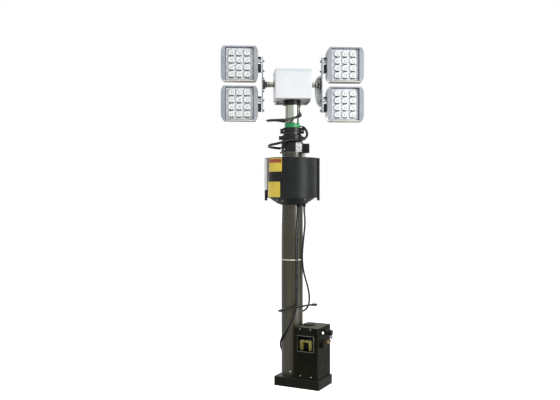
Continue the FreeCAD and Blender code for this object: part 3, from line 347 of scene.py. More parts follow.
NODE_LOOKS = {
    "plinth": "base_plinth base_plate",
    "box": "control_box control_box_front",
    "drum": "drum_front_shell drum_rear_shell drum_lid drum_dish",
    "olive_tube": "outer_tube",
    "bright_band": "tube_band",
    "bright_tube": "stage2_tube stage3_tube pole",
    "black": "outer_collar stage2_collar stage3_collar valve_block air_regulator pan_flange tilt_drive "
             "knuckles_left knuckles_right",
    "plastic": "junction_box box_cap blank_plug cable_glands",
    "milled": "junction_bracket",
    "steel": "foot_spigot",
    "shaft": "tilt_shaft",
    "frame": "window_frame",
    "glass": "window_pane",
    "bowl": "filter_bowl",
    "chrome": "air_inlet",
    "brass": "brass_silencer",
    "green": "seal_ring",
    "yellow": "valve_coils",
    "rubber": "front_cable wrapped_cable coil_cable_top coil_cable_middle coil_cable_bottom",
    "conduit": "junction_gland lamp_lead",
    "white_plastic": "cable_plug",
    "grey": "head_chassis",
    "white": "head_cover",
    "pale": "head_lid",
    "bar": "lamp_bar_left lamp_bar_right",
    "lamp": "lamp_housing_upper_left lamp_housing_lower_left lamp_housing_upper_right lamp_housing_lower_right",
    "lens": "lenses_left lenses_right",
}
for look_name, node_names in NODE_LOOKS.items():
    for node_name in node_names.split():
        data = frame["nodes"][node_name].data
        data.materials.clear()
        data.materials.append(look_of(look_name))


# Mesh building

class Piece:
    """One object that several solids are added to, each with its own look."""

    def __init__(self, name, body="mast_base", turned=SQUARE):
        self.name = name
        self.body = body
        self.turned = turned
        self.mesh = bmesh.new()
        self.looks = []

    def slot_of(self, look):
        if look not in self.looks:
            self.looks.append(look)
        return self.looks.index(look)

    def take(self, part, look, at=SQUARE, bevel=0.0, segments=2):
        """Adds a small mesh, its sharp edges rounded first."""
        bmesh.ops.recalc_face_normals(part, faces=part.faces)
        if bevel > 0:
            sharp = [e for e in part.edges if e.is_manifold and e.calc_face_angle(0) > math.radians(28)]
            bmesh.ops.bevel(part, geom=sharp, offset=bevel, segments=segments, profile=0.6, affect="EDGES",
                            clamp_overlap=True)
        index = self.slot_of(look)
        for face in part.faces:
            face.material_index = index
        part.transform(self.turned @ at)
        held = bpy.data.meshes.new("held")
        part.to_mesh(held)
        part.free()
        self.mesh.from_mesh(held)
        bpy.data.meshes.remove(held)

    def box(self, low, high, look, at=SQUARE, bevel=0.6, segments=2):
        part = bmesh.new()
        bmesh.ops.create_cube(part, size=1)
        for vertex in part.verts:
            vertex.co = [a + (share + 0.5) * (b - a) for share, a, b in zip(vertex.co, low, high)]
        self.take(part, look, at, bevel, segments)

    def solid(self, profile, look, at=SQUARE, around=32):
        """Turned about Z and closed flat to the axis at both ends."""
        self.lathe([(0, profile[0][1]), *profile, (0, profile[-1][1])], look, at, around)

    def lathe(self, profile, look, at=SQUARE, around=32):
        """Turned about Z through (radius, height) points; it closes on the axis or on itself."""
        part = bmesh.new()
        rings = []
        for radius, height in profile:
            if radius < 1e-6:
                rings.append([part.verts.new((0, 0, height))])
            else:
                rings.append([part.verts.new((radius * c, radius * s, height)) for c, s in circle(around)])
        pairs = list(zip(rings, rings[1:]))
        if len(rings[0]) > 1 and len(rings[-1]) > 1:
            pairs.append((rings[-1], rings[0]))
        for lower, upper in pairs:
            for k in range(around):
                n = (k + 1) % around
                corners = [(lower, k), (lower, n), (upper, n), (upper, k)]
                face = list(dict.fromkeys(ring[index % len(ring)] for ring, index in corners))
                if len(face) > 2:
                    part.faces.new(face)
        self.take(part, look, at)

    def prism(self, outline, depth, look, at=SQUARE, bevel=0.5, segments=2):
        """An outline in the XY plane, drawn up along Z."""
        part = bmesh.new()
        low = [part.verts.new((x, y, 0)) for x, y in outline]
        high = [part.verts.new((x, y, depth)) for x, y in outline]
        part.faces.new(list(reversed(low)))
        part.faces.new(high)
        count = len(outline)
        for k in range(count):
            part.faces.new([low[k], low[(k + 1) % count], high[(k + 1) % count], high[k]])
        self.take(part, look, at, bevel, segments)

    def tube(self, path, radius, look, around=12):
        """A round tube along points, its radius a number or one for each point."""
        part = bmesh.new()
        points = [Vector(p) for p in path]
        radii = radius if isinstance(radius, (list, tuple)) else [radius] * len(points)
        side = None
        rings = []
        for k, point in enumerate(points):
            along = (points[min(k + 1, len(points) - 1)] - points[max(k - 1, 0)]).normalized()
            if side is None:
                side = along.orthogonal().normalized()
            side = (side - along * side.dot(along)).normalized()
            other = along.cross(side)
            rings.append([part.verts.new(point + (side * c + other * s) * radii[k]) for c, s in circle(around)])
        for lower, upper in zip(rings, rings[1:]):
            for j in range(around):
                part.faces.new([lower[j], lower[(j + 1) % around], upper[(j + 1) % around], upper[j]])
        part.faces.new(list(reversed(rings[0])))
        part.faces.new(rings[-1])
        self.take(part, look)

    def finish(self, *stands_for, slot=None, ride=True):
        self.mesh.transform(Matrix.Scale(MM, 4))
        data = bpy.data.meshes.new(self.name)
        self.mesh.to_mesh(data)
        self.mesh.free()
        for look in self.looks:
            data.materials.append(look_of(look))
        for polygon in data.polygons:
            polygon.use_smooth = True
        data.set_sharp_from_angle(angle=math.radians(32))
        made = bpy.data.objects.new(self.name, data)
        bpy.context.scene.collection.objects.link(made)
        if ride:
            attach(made, self.body)
        if stands_for:
            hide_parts(*stands_for)
        return made


def facing(point, normal):
    """A place at point whose Z looks along normal."""
    return shift(point) @ Vector(normal).to_track_quat("Z", "Y").to_matrix().to_4x4()


def outward(turn):
    """Away from the mast, turn degrees round from the drum's front towards its right."""
    t = math.radians(turn)
    return Vector((math.sin(t), -math.cos(t), 0))


def on_ring(radius, turn, z):
    return outward(turn) * radius + Vector((0, 0, z))


def ring_outline(radius, count):
    return [(radius * c, radius * s) for c, s in circle(count)]


def arc(radius, first, last, steps):
    """Points on a circle from one angle in degrees to another."""
    return [(radius * math.cos(math.radians(first + (last - first) * k / steps)),
             radius * math.sin(math.radians(first + (last - first) * k / steps))) for k in range(steps + 1)]


def sized(profile, radius, height):
    """A profile of unit size, drawn out to a radius and a height."""
    return [(r * radius, h * height) for r, h in profile]


def socket_screw(piece, point, normal, radius, look="steel", height=None):
    """A cap screw with a hex socket."""
    profile = [(0, 0), (1, 0), (1, 0.86), (0.88, 1), (0.52, 1), (0.48, 0.5), (0, 0.42)]
    piece.lathe(sized(profile, radius, height or radius * 1.1), look, facing(point, normal), 20)


def hex_bolt(piece, point, normal, radius, look="steel", height=None):
    """A hexagon head on a washer, its top chamfered round."""
    height = height or radius * 0.7
    base = radius * 0.16
    at = facing(point, normal)
    piece.solid(sized([(1.28, 0), (1.28, 0.7), (1.2, 1)], radius, base), look, at, 24)
    piece.prism(ring_outline(radius, 6), height, look, at @ shift((0, 0, base)), radius * 0.12)
    piece.lathe(sized([(0, 0), (0.8, 0), (0.72, 0.08), (0, 0.1)], radius, radius), look,
                at @ shift((0, 0, base + height)), 20)


def pan_screw(piece, point, normal, radius, look="steel"):
    """A low domed screw with a recess."""
    profile = [(1, 0), (0.96, 0.22), (0.74, 0.42), (0.3, 0.5), (0.22, 0.3)]
    piece.solid(sized(profile, radius, radius), look, facing(point, normal), 20)


def gland_body(piece, x, y, low, height, radius, up=True):
    """A cable gland: a hexagon, a neck, a ribbed nut and its dome."""
    at = shift((x, y, low)) @ (SQUARE if up else Matrix.Rotation(math.pi, 4, "X"))
    piece.prism(ring_outline(radius, 6), height * 0.36, "plastic", at, radius * 0.08)
    piece.solid(sized([(0.8, 0.36), (0.8, 0.46)], radius, height), "plastic", at, 24)
    piece.prism(ring_outline(radius * 0.96, 12), height * 0.3, "plastic", at @ shift((0, 0, height * 0.46)),
                radius * 0.06)
    piece.solid(sized([(0.86, 0.76), (0.72, 0.92), (0.6, 1)], radius, height), "plastic", at, 24)


def ribs(piece, count, low, high, at):
    """Small ribs all round a knob."""
    for k in range(count):
        piece.box(low, high, "plastic", at @ Matrix.Rotation(math.tau * k / count, 4, "Z"), 0.4)


# Cords: smooth lines along the points of each cable's run

CABLE_RADIUS, LEAD_RADIUS, COIL_RADIUS = 5.5, 7, 7.5


def turned_points(points, turned):
    """Points in metres in the part's own frame."""
    return [turned @ Vector(p) * MM for p in points]


def line_of(name, points):
    curve = bpy.data.curves.new(name, "CURVE")
    curve.dimensions = "3D"
    spline = curve.splines.new("NURBS")
    spline.points.add(len(points) - 1)
    for point, place in zip(spline.points, points):
        point.co = (*place, 1)
    spline.order_u = 3
    spline.use_endpoint_u = True
    curve.resolution_u = 10
    made = bpy.data.objects.new(name, curve)
    bpy.context.scene.collection.objects.link(made)
    return made


def path_of(points):
    """Points read from the smooth line of a route, in metres."""
    made = line_of("route", points)
    bpy.context.view_layer.update()
    graph = bpy.context.evaluated_depsgraph_get()
    data = bpy.data.meshes.new_from_object(made.evaluated_get(graph), depsgraph=graph)
    path = [v.co.copy() for v in data.vertices]
    bpy.data.meshes.remove(data)
    bpy.data.objects.remove(made)
    return path


def length_of(path):
    return round(sum((b - a).length for a, b in zip(path, path[1:])), 3)


def plain_cord(node, points, turned, radius, look, body, **facts):
    """A cord that moves with one body."""
    places = turned_points(points, turned)
    made = line_of(node + "_line", places)
    made.data.bevel_depth = radius * MM
    made.data.bevel_resolution = 5
    made.data.use_fill_caps = True
    made.data.materials.append(look_of(look))
    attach(made, body)
    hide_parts(node)
    length_of(path_of(places))


def bending_cord(name, node, points, upper, lower=None):
    """A stretch of the coil cable: it moves with upper, or, when lower is given, it stays where it is drawn and rides
    with no body.
    """
    path = path_of(turned_points(points, DRUM))
    piece = Piece(name, upper)
    piece.tube([p / MM for p in path], COIL_RADIUS, "rubber", 16)
    made = piece.finish(node, ride=lower is None)
    if lower is not None:
        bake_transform(made)


FRONT_CABLE = [
    (43, -61, 1046), (43, -61, 1014), (38, -67, 962), (35, -70, 908), (33, -71, 855), (32, -71, 801),
    (32, -70, 748), (31, -70, 695), (32, -70, 642), (32, -71, 588), (31, -71, 535), (28, -72, 482),
    (20, -73, 436), (4, -74, 393), (-19, -70, 353), (-41, -60, 313), (-60, -40, 276), (-70, -11, 246),
    (-69, 20, 214), (-59, 47, 178), (-46, 66, 144), (-33, 77, 114), (-24, 83, 92), (-21, 84, 82), (-21, 84, 72),
]
WRAPPED_CABLE = [
    (71, -30, 1046), (71, -30, 1018), (76, -33, 970), (74, -34, 922), (69, -36, 874), (64, -39, 827),
    (60, -39, 779), (60, -40, 732), (64, -39, 685), (74, -36, 638), (88, -30, 592), (98, -19, 547),
    (103, -2, 503), (99, 20, 461), (81, 44, 426), (46, 66, 408), (0, 77, 404), (-46, 70, 410),
    (-76, 35, 420), (-83, -10, 430), (-68, -53, 441), (-31, -81, 452), (14, -92, 462), (60, -89, 470),
    (92, -80, 475), (113, -70, 475),
]
COIL_TOP = [
    (38, 44, 1647), (38, 44, 1634), (39, 41, 1619), (43, 32, 1605), (49, 16, 1595), (52, -4, 1588),
    (48, -25, 1582), (37, -46, 1576), (19, -63, 1568), (-6, -78, 1559), (-35, -91, 1553),
    (-68, -99, 1551), (-102, -94, 1550), (-130, -74, 1551), (-147, -42, 1552), (-151, -7, 1553),
    (-144, 29, 1560), (-123, 60, 1566), (-92, 81, 1566), (-56, 91, 1562), (-19, 91, 1553), (17, 80, 1539),
    (44, 56, 1527), (59, 20, 1518.5), (63, 0, 1517.5),
]
COIL_MIDDLE = [
    (63, 0, 1517.5), (66, -15, 1516.75), (76, -37, 1504), (88, -50, 1483), (87, -61, 1459),
    (68, -69, 1442), (43, -71, 1436), (16, -71, 1435.5), (0, -71, 1435.5),
]
COIL_BOTTOM = [
    (0, -71, 1435.5), (-21, -71, 1435.5), (-54, -78, 1425), (-87, -78, 1416), (-117, -62, 1412),
    (-136, -33, 1408), (-142, 1, 1405), (-134, 35, 1402), (-112, 62, 1400), (-83, 81, 1398),
    (-52, 93, 1397), (-23, 99, 1393), (1, 101, 1382), (14, 101, 1359), (14, 101, 1337),
]
LAMP_LEAD = [
    (173, 12, 1816), (165, 12, 1816), (155, 15, 1812), (149, 22, 1801), (146, 29, 1785), (145, 32, 1766),
    (145, 32, 1744), (145, 30, 1721), (147, 25, 1700), (150, 19, 1681), (153, 15, 1666), (157, 12, 1655),
    (163, 11, 1649), (173, 11, 1649),
]


def make_cords():
    plain_cord("front_cable", FRONT_CABLE, DRUM, CABLE_RADIUS, "rubber", "mast_base", far_end="object")
    plain_cord("lamp_lead", LAMP_LEAD, HEAD, LEAD_RADIUS, "conduit", "lamp_frame", far_end="object")
    top = COIL_TOP.index((-151, -7, 1553))
    bending_cord("coil_top_front", "coil_cable_top", COIL_TOP[:top + 1], "top_stage")
    bending_cord("coil_top_back", "coil_cable_top", COIL_TOP[top:], "top_stage", "stage_3")
    bending_cord("coil_middle", "coil_cable_middle", COIL_MIDDLE, "stage_3", "stage_2")
    low = COIL_BOTTOM.index((-142, 1, 1405))
    bending_cord("coil_bottom_front", "coil_cable_bottom", COIL_BOTTOM[:low + 1], "stage_2")
    bending_cord("coil_bottom_back", "coil_cable_bottom", COIL_BOTTOM[low:], "stage_2", "mast_base")


make_cords()


def cable_end():
    """The wrapped cable and the plug on its free end."""
    end = Vector(WRAPPED_CABLE[-1])
    along = (end - Vector(WRAPPED_CABLE[-2])).normalized()
    plug = Piece("plug", turned=DRUM)
    at = facing(end, along)
    plug.solid([(5.8, 0), (6.8, 2), (6.8, 10)], "plastic", at, 24)
    plug.solid([(7.4, 10), (8, 11), (8, 15), (7.4, 15.6), (7.4, 17), (8, 17.6), (8, 33), (7.4, 34.4), (6.8, 35),
                (6.4, 30)], "plastic", at)
    for turn in (30, 150, 270):
        pin = at @ about_z(turn) @ shift((3.2, 0, 0))
        plug.solid([(1.1, 29), (1.1, 34), (0.6, 35)], "brass", pin, 12)
    plug.box((-4, -5, 6), (21, 5, 18), "conduit", shift(end + along * 12), 3, 3)
    made = plug.finish("cable_plug", slot="white_paint")
    plain_cord("wrapped_cable", WRAPPED_CABLE, DRUM, CABLE_RADIUS, "rubber", "mast_base", far_end="plug",
               with_pieces=[made])


cable_end()


# Lamps

LENS_WALL = [(0, 0), (19.4, 0), (19.4, 1.6), (19.0, 2.2), (19.2, 9.6), (18.9, 10.6), (0, 10.6)]
LENS_FACE = [(0, 10.4), (18.9, 10.4), (19.1, 11.2), (18.6, 12.4), (17.4, 12.9), (16.0, 12.5), (11.8, 11.6),
             (7.6, 11.2), (0, 11.2)]
LENS_EYE = [(5.0, 11.0), (7.4, 11.0), (7.2, 12.2), (6.4, 12.7), (5.4, 12.4), (5.0, 11.6)]
LENS_CORE = [(0, 11.0), (4.2, 11.0), (3.6, 12.0), (1.8, 12.6), (0, 12.7)]
LENS_STEP_X, LENS_STEP_Z = 45.6, 42
LAMP_X, TILT_Z, LAMP_RISE = 312, 1768, 116
LAMP_FRONT, LAMP_BACK, LAMP_SEAT = -46, 46, -22
PLATE_X, PLATE_Z, SEAL_X, SEAL_Z = 82, 95, 78.5, 91.5
BAR_FACE, COVER_HALF = 172.9, 106
LENS_SHADOW_CRESCENT = arc(21.0, -132, -52, 8) + arc(15.6, -52, -132, 8)


def lamp_front(across, side):
    """Lens plates with twelve moulded lenses each, a dark crescent under every lens that is painted shadow, the
    plates' dark seals, which also paint the shade along the recess's edges, and screws.
    """
    piece = Piece("lens_sets_" + across, "lamp_frame", HEAD)
    face = LAMP_SEAT - 2.2
    for level in (-1, 1):
        x, z = LAMP_X * side, TILT_Z + LAMP_RISE * level
        piece.box((x - PLATE_X, face, z - PLATE_Z), (x + PLATE_X, LAMP_SEAT - 0.1, z + PLATE_Z), "lamp_face",
                  bevel=0.4)
        # Dark seal strips round the plate, which also paint the shade along the recess's edges.
        for low, high in (((-PLATE_X, -PLATE_Z), (-SEAL_X, PLATE_Z)), ((SEAL_X, -PLATE_Z), (PLATE_X, PLATE_Z)),
                          ((-SEAL_X, SEAL_Z), (SEAL_X, PLATE_Z)), ((-SEAL_X, -PLATE_Z), (SEAL_X, -SEAL_Z))):
            piece.box((x + low[0], face - 2.2, z + low[1]), (x + high[0], face, z + high[1]), "seal", bevel=0.8)
        for column, row in grid((-1, 0, 1), (-1.5, -0.5, 0.5, 1.5)):
            spot = (x + LENS_STEP_X * column, face, z + LENS_STEP_Z * row)
            at = facing(spot, FRONT)
            piece.lathe(LENS_WALL, "lens_wall", at, 36)
            piece.lathe(LENS_FACE, "lens", at, 36)
            piece.lathe(LENS_EYE, "lens_eye", at, 28)
            piece.lathe(LENS_CORE, "lens", at, 20)
            # A dark crescent under the lens: painted shadow.
            piece.prism(LENS_SHADOW_CRESCENT, 13.4, "lens_shadow", shift(spot) @ LYING, 0.5)
        for column, row in grid((-1.5, -0.5, 0.5, 1.5), (-1, 0, 1)):
            pan_screw(piece, (x + 46.4 * column, face, z + LENS_STEP_Z * row), FRONT, 2.1)
    piece.finish("lenses_" + across, slot="lens_plastic")


def lamp_casting(across, side):
    """What the castings carry: beige strips on the lower lips that paint the floor's light on them, screws, and a
    driver lid on the back with a vent.
    """
    piece = Piece("lamp_trim_" + across, "lamp_frame", HEAD)
    for level in (-1, 1):
        x, z = LAMP_X * side, TILT_Z + LAMP_RISE * level
        # A beige strip under each lamp's front: painted light from the floor.
        piece.box((x - PLATE_X, -46.6, z - 102.3), (x + PLATE_X, -45.8, z - 96), "lamp_lip", bevel=0.3)
        for end, row in grid((-1, 1), (-1, 1)):
            socket_screw(piece, (x + 96 * end, LAMP_BACK, z + 67.08 * row), BACK, 3.4)
            pan_screw(piece, (x + 88.5 * end, LAMP_FRONT, z + 88.92 * row), FRONT, 2.4)
        piece.box((x - 34, 38, z - 26), (x + 34, 45.6, z + 26), "lamp", bevel=2.5, segments=3)
        piece.prism(ring_outline(9, 6), 0.4, "plastic", facing((x + 40 * side, 45.5, z), BACK), 0.1)
        for lid_x, lid_z in grid((-29, 29), (-21, 21)):
            pan_screw(piece, (x + lid_x, 45.6, z + lid_z), BACK, 0.8)
    piece.finish(slot="lamp_paint")


def knuckle(piece, side, z):
    """A clevis on the bar: a black clamp block below, a plated cheek with the pivot bolt above."""
    near = 179 * side
    far = near + 24.5 * side
    low, high = sorted((near, near + 6 * side))
    piece.box((low, -22, z - 44.5), (high, 22, z + 44.5), "milled", bevel=2.2, segments=3)
    low, high = sorted((near + 5 * side, far))
    piece.box((low, -22, z - 44.5), (high, 22, z - 2), "black", bevel=3, segments=3)
    piece.box((low, -18, z - 3), (high, 18, z + 3), "black", bevel=1.2)
    piece.box((low, -20, z + 36), (high, 20, z + 44.5), "black", bevel=2)
    out = (side, 0, 0)
    piece.solid([(12, 0), (12, 3.4), (9, 4.4), (9, 15.4), (12, 16.4), (12, 18.5)], "chrome",
                facing((near + 6 * side, 0, z + 22.25), out), 32)
    for place in (-30, -14):
        socket_screw(piece, (near + 15 * side, -22, z + place), FRONT, 3.6, "dark_steel", 2.6)
    for place in (22, -36):
        hex_bolt(piece, (BAR_FACE * side, 0, z + place), (-side, 0, 0), 6, "dark_steel", 6)
        piece.solid([(3.4, 0), (3.4, 3), (2.8, 3.8)], "zinc", facing((165.9 * side, 0, z + place), (-side, 0, 0)), 20)


def lamp_mounts(across, side):
    """Both knuckles of one side, and the hub on its bar."""
    pair = Piece("knuckle_pair_" + across, "lamp_frame", HEAD)
    for level in (-1, 1):
        knuckle(pair, side, TILT_Z + LAMP_RISE * level)
    pair.finish("knuckles_" + across, slot="black_metal")
    hub = Piece("bar_hub_" + across, "lamp_frame", HEAD)
    at = facing((BAR_FACE * side, 0, TILT_Z), (-side, 0, 0))
    hub.lathe([(15.4, 0), (28, 0), (28, 9), (27, 10.6), (24, 12.4), (18, 13), (18, 22), (17, 23.4), (15.4, 23.4)],
              "black", at, 48)
    for turn in range(30, 390, 60):
        spin = at @ about_z(turn) @ shift((24, 0, 12))
        hub.lathe([(0, 0), (2.4, 0), (2.4, 1.8), (2.0, 2.3), (1.2, 2.3), (1.1, 1.2), (0, 1.0)], "zinc", spin, 16)
    hub.lathe([(15.2, 0), (16.2, 0), (16.6, 0.6), (16.6, 4.4), (16.2, 5), (15.2, 5)], "black",
              facing((136 * side, 0, TILT_Z), (side, 0, 0)), 40)
    for place in (36, -40):
        hex_bolt(hub, (BAR_FACE * side, 0, TILT_Z + place), (-side, 0, 0), 4.6, "dark_steel", 7)
    hub.finish(slot="black_metal")


for across, side in (("left", -1), ("right", 1)):
    lamp_front(across, side)
    lamp_casting(across, side)
    lamp_mounts(across, side)


def lead_ends():
    """Conduit nuts where the lamp lead goes into the right bar, and the pale web behind the lead."""
    piece = Piece("lead_ends", "lamp_frame", HEAD)
    for x, y, z in (LAMP_LEAD[0], LAMP_LEAD[-1]):
        at = facing((x, y, z), (-1, 0, 0))
        piece.prism(ring_outline(10.4, 6), 5, "conduit", at, 0.8)
        piece.lathe([(7.1, 5), (9.4, 5), (9.4, 10), (8.4, 12), (7.1, 12)], "conduit", at, 32)
    guard = [(p[0] + 1, p[2]) for p in LAMP_LEAD[1:-1]]
    guard += [(172.5, LAMP_LEAD[-1][2]), (172.5, LAMP_LEAD[0][2])]
    piece.prism(guard, 2.5, "conduit", shift((0, 22, 0)) @ LYING, 0.6)
    piece.finish(slot="grey_conduit")


lead_ends()


# Head

def head_trim():
    """Screws on the cover, its lid and the chassis, seals round the shaft, and the pan flange's lower ring."""
    piece = Piece("cover_trim", "pan_head", HEAD)
    for turn in (0, 90, 180, 270):
        spin = about_z(turn)
        out = spin @ Vector(FRONT)
        for x in (-94, 94):
            pan_screw(piece, spin @ Vector((x, -COVER_HALF, 1838.5)), out, 2.6, "white")
            pan_screw(piece, spin @ Vector((x, -COVER_HALF, 1684)), out, 2.2, "white")
        pan_screw(piece, spin @ Vector((90, -90, 1847)), UP, 3)
    for side in (-1, 1):
        piece.lathe([(15.9, -0.5), (25, -0.5), (25, 1.6), (24, 2.4), (19.4, 2.8), (18.6, 4.4), (15.9, 4.4)],
                    "black", facing((COVER_HALF * side, 0, TILT_Z), (side, 0, 0)), 40)
    piece.finish(slot="white_paint")

    under = Piece("chassis_trim", "pan_head", HEAD)
    for x in (-78, -62, 62, 78):
        hex_bolt(under, (x, 0, 1676), DOWN, 4.6, "zinc")
        hex_bolt(under, (x * 0.8, -72, 1676), DOWN, 3.6, "zinc")
    for side, y in grid((-1, 1), (-70, 70)):
        pan_screw(under, (99 * side, y, 1668), (side, 0, 0), 3)
    under.finish(slot="grey_paint")

    ring = Piece("pan_flange_trim", "top_stage", DRUM)
    ring.lathe([(41.9, 1645.6), (53, 1645.6), (53.6, 1646.4), (53.6, 1649.4), (53, 1650.2), (49, 1650.6),
                (41.9, 1650.6)], "black", around=64)
    for turn in range(105, 465, 60):
        socket_screw(ring, on_ring(47, turn, 1645.6), DOWN, 2.4, "dark_steel", 2)
    ring.lathe([(7.2, 1636), (9.6, 1636), (10.4, 1638), (10.4, 1647), (7.2, 1647)], "plastic", shift((38, 44, 0)))
    ring.finish(slot="black_metal")


head_trim()


# Collars

COLLAR_FACE = 66.4


def collar_trim():
    """Wipers and beads of the collars, the clamp blocks in front of their lugs, and their screws."""
    fixed = Piece("outer_collar_trim", turned=DRUM)
    fixed.lathe([(56, 1424), (63.4, 1424), (63.4, 1428), (61, 1434), (58.4, 1440.4), (56, 1440.4)], "black",
                around=64)
    for z in (1376, 1419):
        fixed.lathe([(COLLAR_FACE, z), (67.2, z), (67.6, z + 0.6), (67.6, z + 3), (67.2, z + 3.6),
                     (COLLAR_FACE, z + 3.6)], "black", around=64)
    for turn in (-41.7, 138, 222):
        socket_screw(fixed, on_ring(COLLAR_FACE, turn, 1384), outward(turn), 4.4, "zinc", 3.6)
        socket_screw(fixed, on_ring(COLLAR_FACE, turn + 9, 1410), outward(turn + 9), 3.4, "dark_steel", 3)
    fixed.lathe([(63.6, 1357), (65.2, 1357), (65.6, 1358), (65.6, 1370), (63.6, 1370)], "band", around=64)
    hex_bolt(fixed, (-65.4, -6, 1366), (-1, -0.1, 0), 5.6, "copper", 6.4)
    fixed.finish(slot="black_metal")

    lower = Piece("stage2_collar_trim", "stage_2", DRUM)
    lower.lathe([(49, 1466), (56, 1466), (56, 1469), (53.4, 1473), (51.4, 1477.6), (49, 1477.6)], "black",
                around=64)
    upper = Piece("stage3_collar_trim", "stage_3", DRUM)
    upper.lathe([(41.9, 1538), (45, 1538), (45, 1539.6), (43.4, 1541.4), (41.9, 1541.4)], "black", around=64)
    upper.box((-70, -33, 1480), (-38, -14, 1506), "black", bevel=1.6, segments=3)
    upper.box((44, -29, 1480), (68, -14, 1506), "black", bevel=1.6, segments=3)
    hex_bolt(upper, (-49, -33, 1493), FRONT, 3, "steel", 2.2)
    hex_bolt(upper, (57, -29, 1493), FRONT, 2.6, "steel", 2.2)
    lower.box((-78, -60, 1442.4), (-27, -14, 1461.4), "black", bevel=1.6, segments=3)
    hex_bolt(lower, (70.75, -15, 1451), FRONT, 4.6, "dark_steel", 4)
    for (piece, x, z), side in grid(((lower, 70.75, 1451), (upper, 63.25, 1493)), (-1, 1)):
        hex_bolt(piece, (x * side, 15, z), BACK, 4.6, "dark_steel", 4)
    for turn in (-70, -20, 60, 150, 210):
        socket_screw(upper, on_ring(56.4, turn, 1500), outward(turn), 2.4, "dark_steel", 1.6)
    lower.finish(slot="black_metal")
    upper.finish(slot="black_metal")


collar_trim()


# Drum

DRUM_FACE, DRUM_LOW, DRUM_TOP = 147, 1064, 1327


def bent_plate(piece, radius, turns, heights, look, thick=0.5, corner=5, steps=28):
    """A thin plate bent round the drum, with round corners."""
    part = bmesh.new()
    first, last = turns
    reach = math.radians(last - first) * radius
    columns = []
    for k in range(steps + 1):
        share = (1 - math.cos(math.pi * k / steps)) / 2
        near = min(share, 1 - share) * reach
        cut = corner - math.sqrt(corner ** 2 - (corner - near) ** 2) if near < corner else 0
        turn = first + (last - first) * share
        columns.append([part.verts.new(on_ring(r, turn, z)) for r in (radius, radius + thick)
                        for z in (heights[0] + cut, heights[1] - cut)])
    for a, b in zip(columns, columns[1:]):
        for i, j in ((0, 1), (1, 3), (3, 2), (2, 0)):
            part.faces.new([a[i], a[j], b[j], b[i]])
    for end in (columns[0], columns[-1]):
        part.faces.new([end[0], end[1], end[3], end[2]])
    piece.take(part, look)


def drum_trim():
    """Blank plates, edge beads, the near-white hinge strip with its barrels, screws, and rubber rings round the tube;
    the near-white of the strip and of the screws on it is a painted reflection.
    """
    plates = Piece("drum_plates", turned=DRUM)
    bent_plate(plates, DRUM_FACE + 0.05, (-66.5, -23.6), (1252, 1330), "plate_yellow")
    bent_plate(plates, DRUM_FACE + 0.5, (-65, -25), (1304, 1325), "plate_red", 0.25, 2)
    bent_plate(plates, DRUM_FACE + 0.05, (-73.2, -28.2), (1104, 1194), "plate_yellow")
    for turns, heights in (((-64, -26.1), (1256, 1298)), ((-70.8, -30.6), (1108, 1190))):
        for turn, z in grid(turns, heights):
            pan_screw(plates, on_ring(DRUM_FACE + 0.5, turn, z), outward(turn), 1.7, "dark_steel")
    plates.finish(slot="yellow_plastic")

    piece = Piece("drum_trim", turned=DRUM)
    for z, first in grid((1100, 1331.4), (-88, 92)):
        bent_plate(piece, DRUM_FACE, (first, first + 176), (z, z + 3.6), "drum", 1.4, 0.6, 60)
    for side, z in grid((-1, 1), (1094, 1152, 1217, 1282, 1326)):
        # Screws on the hinge strip take its near-white: painted reflection.
        y, look = (-4.4, "strip") if side < 0 and z > 1146 else (-3, "black")
        hex_bolt(piece, (155.5 * side, y, z), FRONT, 3.6, look, 2.6)
        hex_bolt(piece, (155.5 * side, 3, z), BACK, 3.6, "black", 2.6)
    # The hinge strip and its barrels are near-white: a painted reflection.
    piece.box((-163, -4.4, 1146), (-147.2, -3, 1331), "strip", bevel=0.4)
    for k in range(8):
        piece.solid([(3.2, 0), (3.2, 22.6)], "strip", shift((-163, -1.6, 1146 + 23.2 * k)), 20)
    for turn, radius, z in ((-47.9, 120, 1089.1), (-30.6, 112, 1083.6), (35.5, 124, 1091.9), (95, 118, 1087.7),
                            (155, 118, 1087.7), (215, 118, 1087.7), (275, 118, 1087.7)):
        normal = outward(turn) * 0.569 + Vector((0, 0, -0.823))
        socket_screw(piece, on_ring(radius, turn, z), normal, 3.6, "zinc", 2.6)
    for turn in range(10, 370, 45):
        pan_screw(piece, on_ring(134, turn, DRUM_TOP), UP, 3.4, "dark_steel")
    piece.lathe([(63.8, DRUM_TOP), (69, DRUM_TOP), (69, 1328.6), (66, 1332), (63.8, 1332)], "rubber", around=64)
    piece.lathe([(63.8, 1058), (68, 1058), (70, 1060), (72, DRUM_LOW), (63.8, DRUM_LOW)], "rubber", around=64)
    piece.finish(slot="drum_paint")


drum_trim()


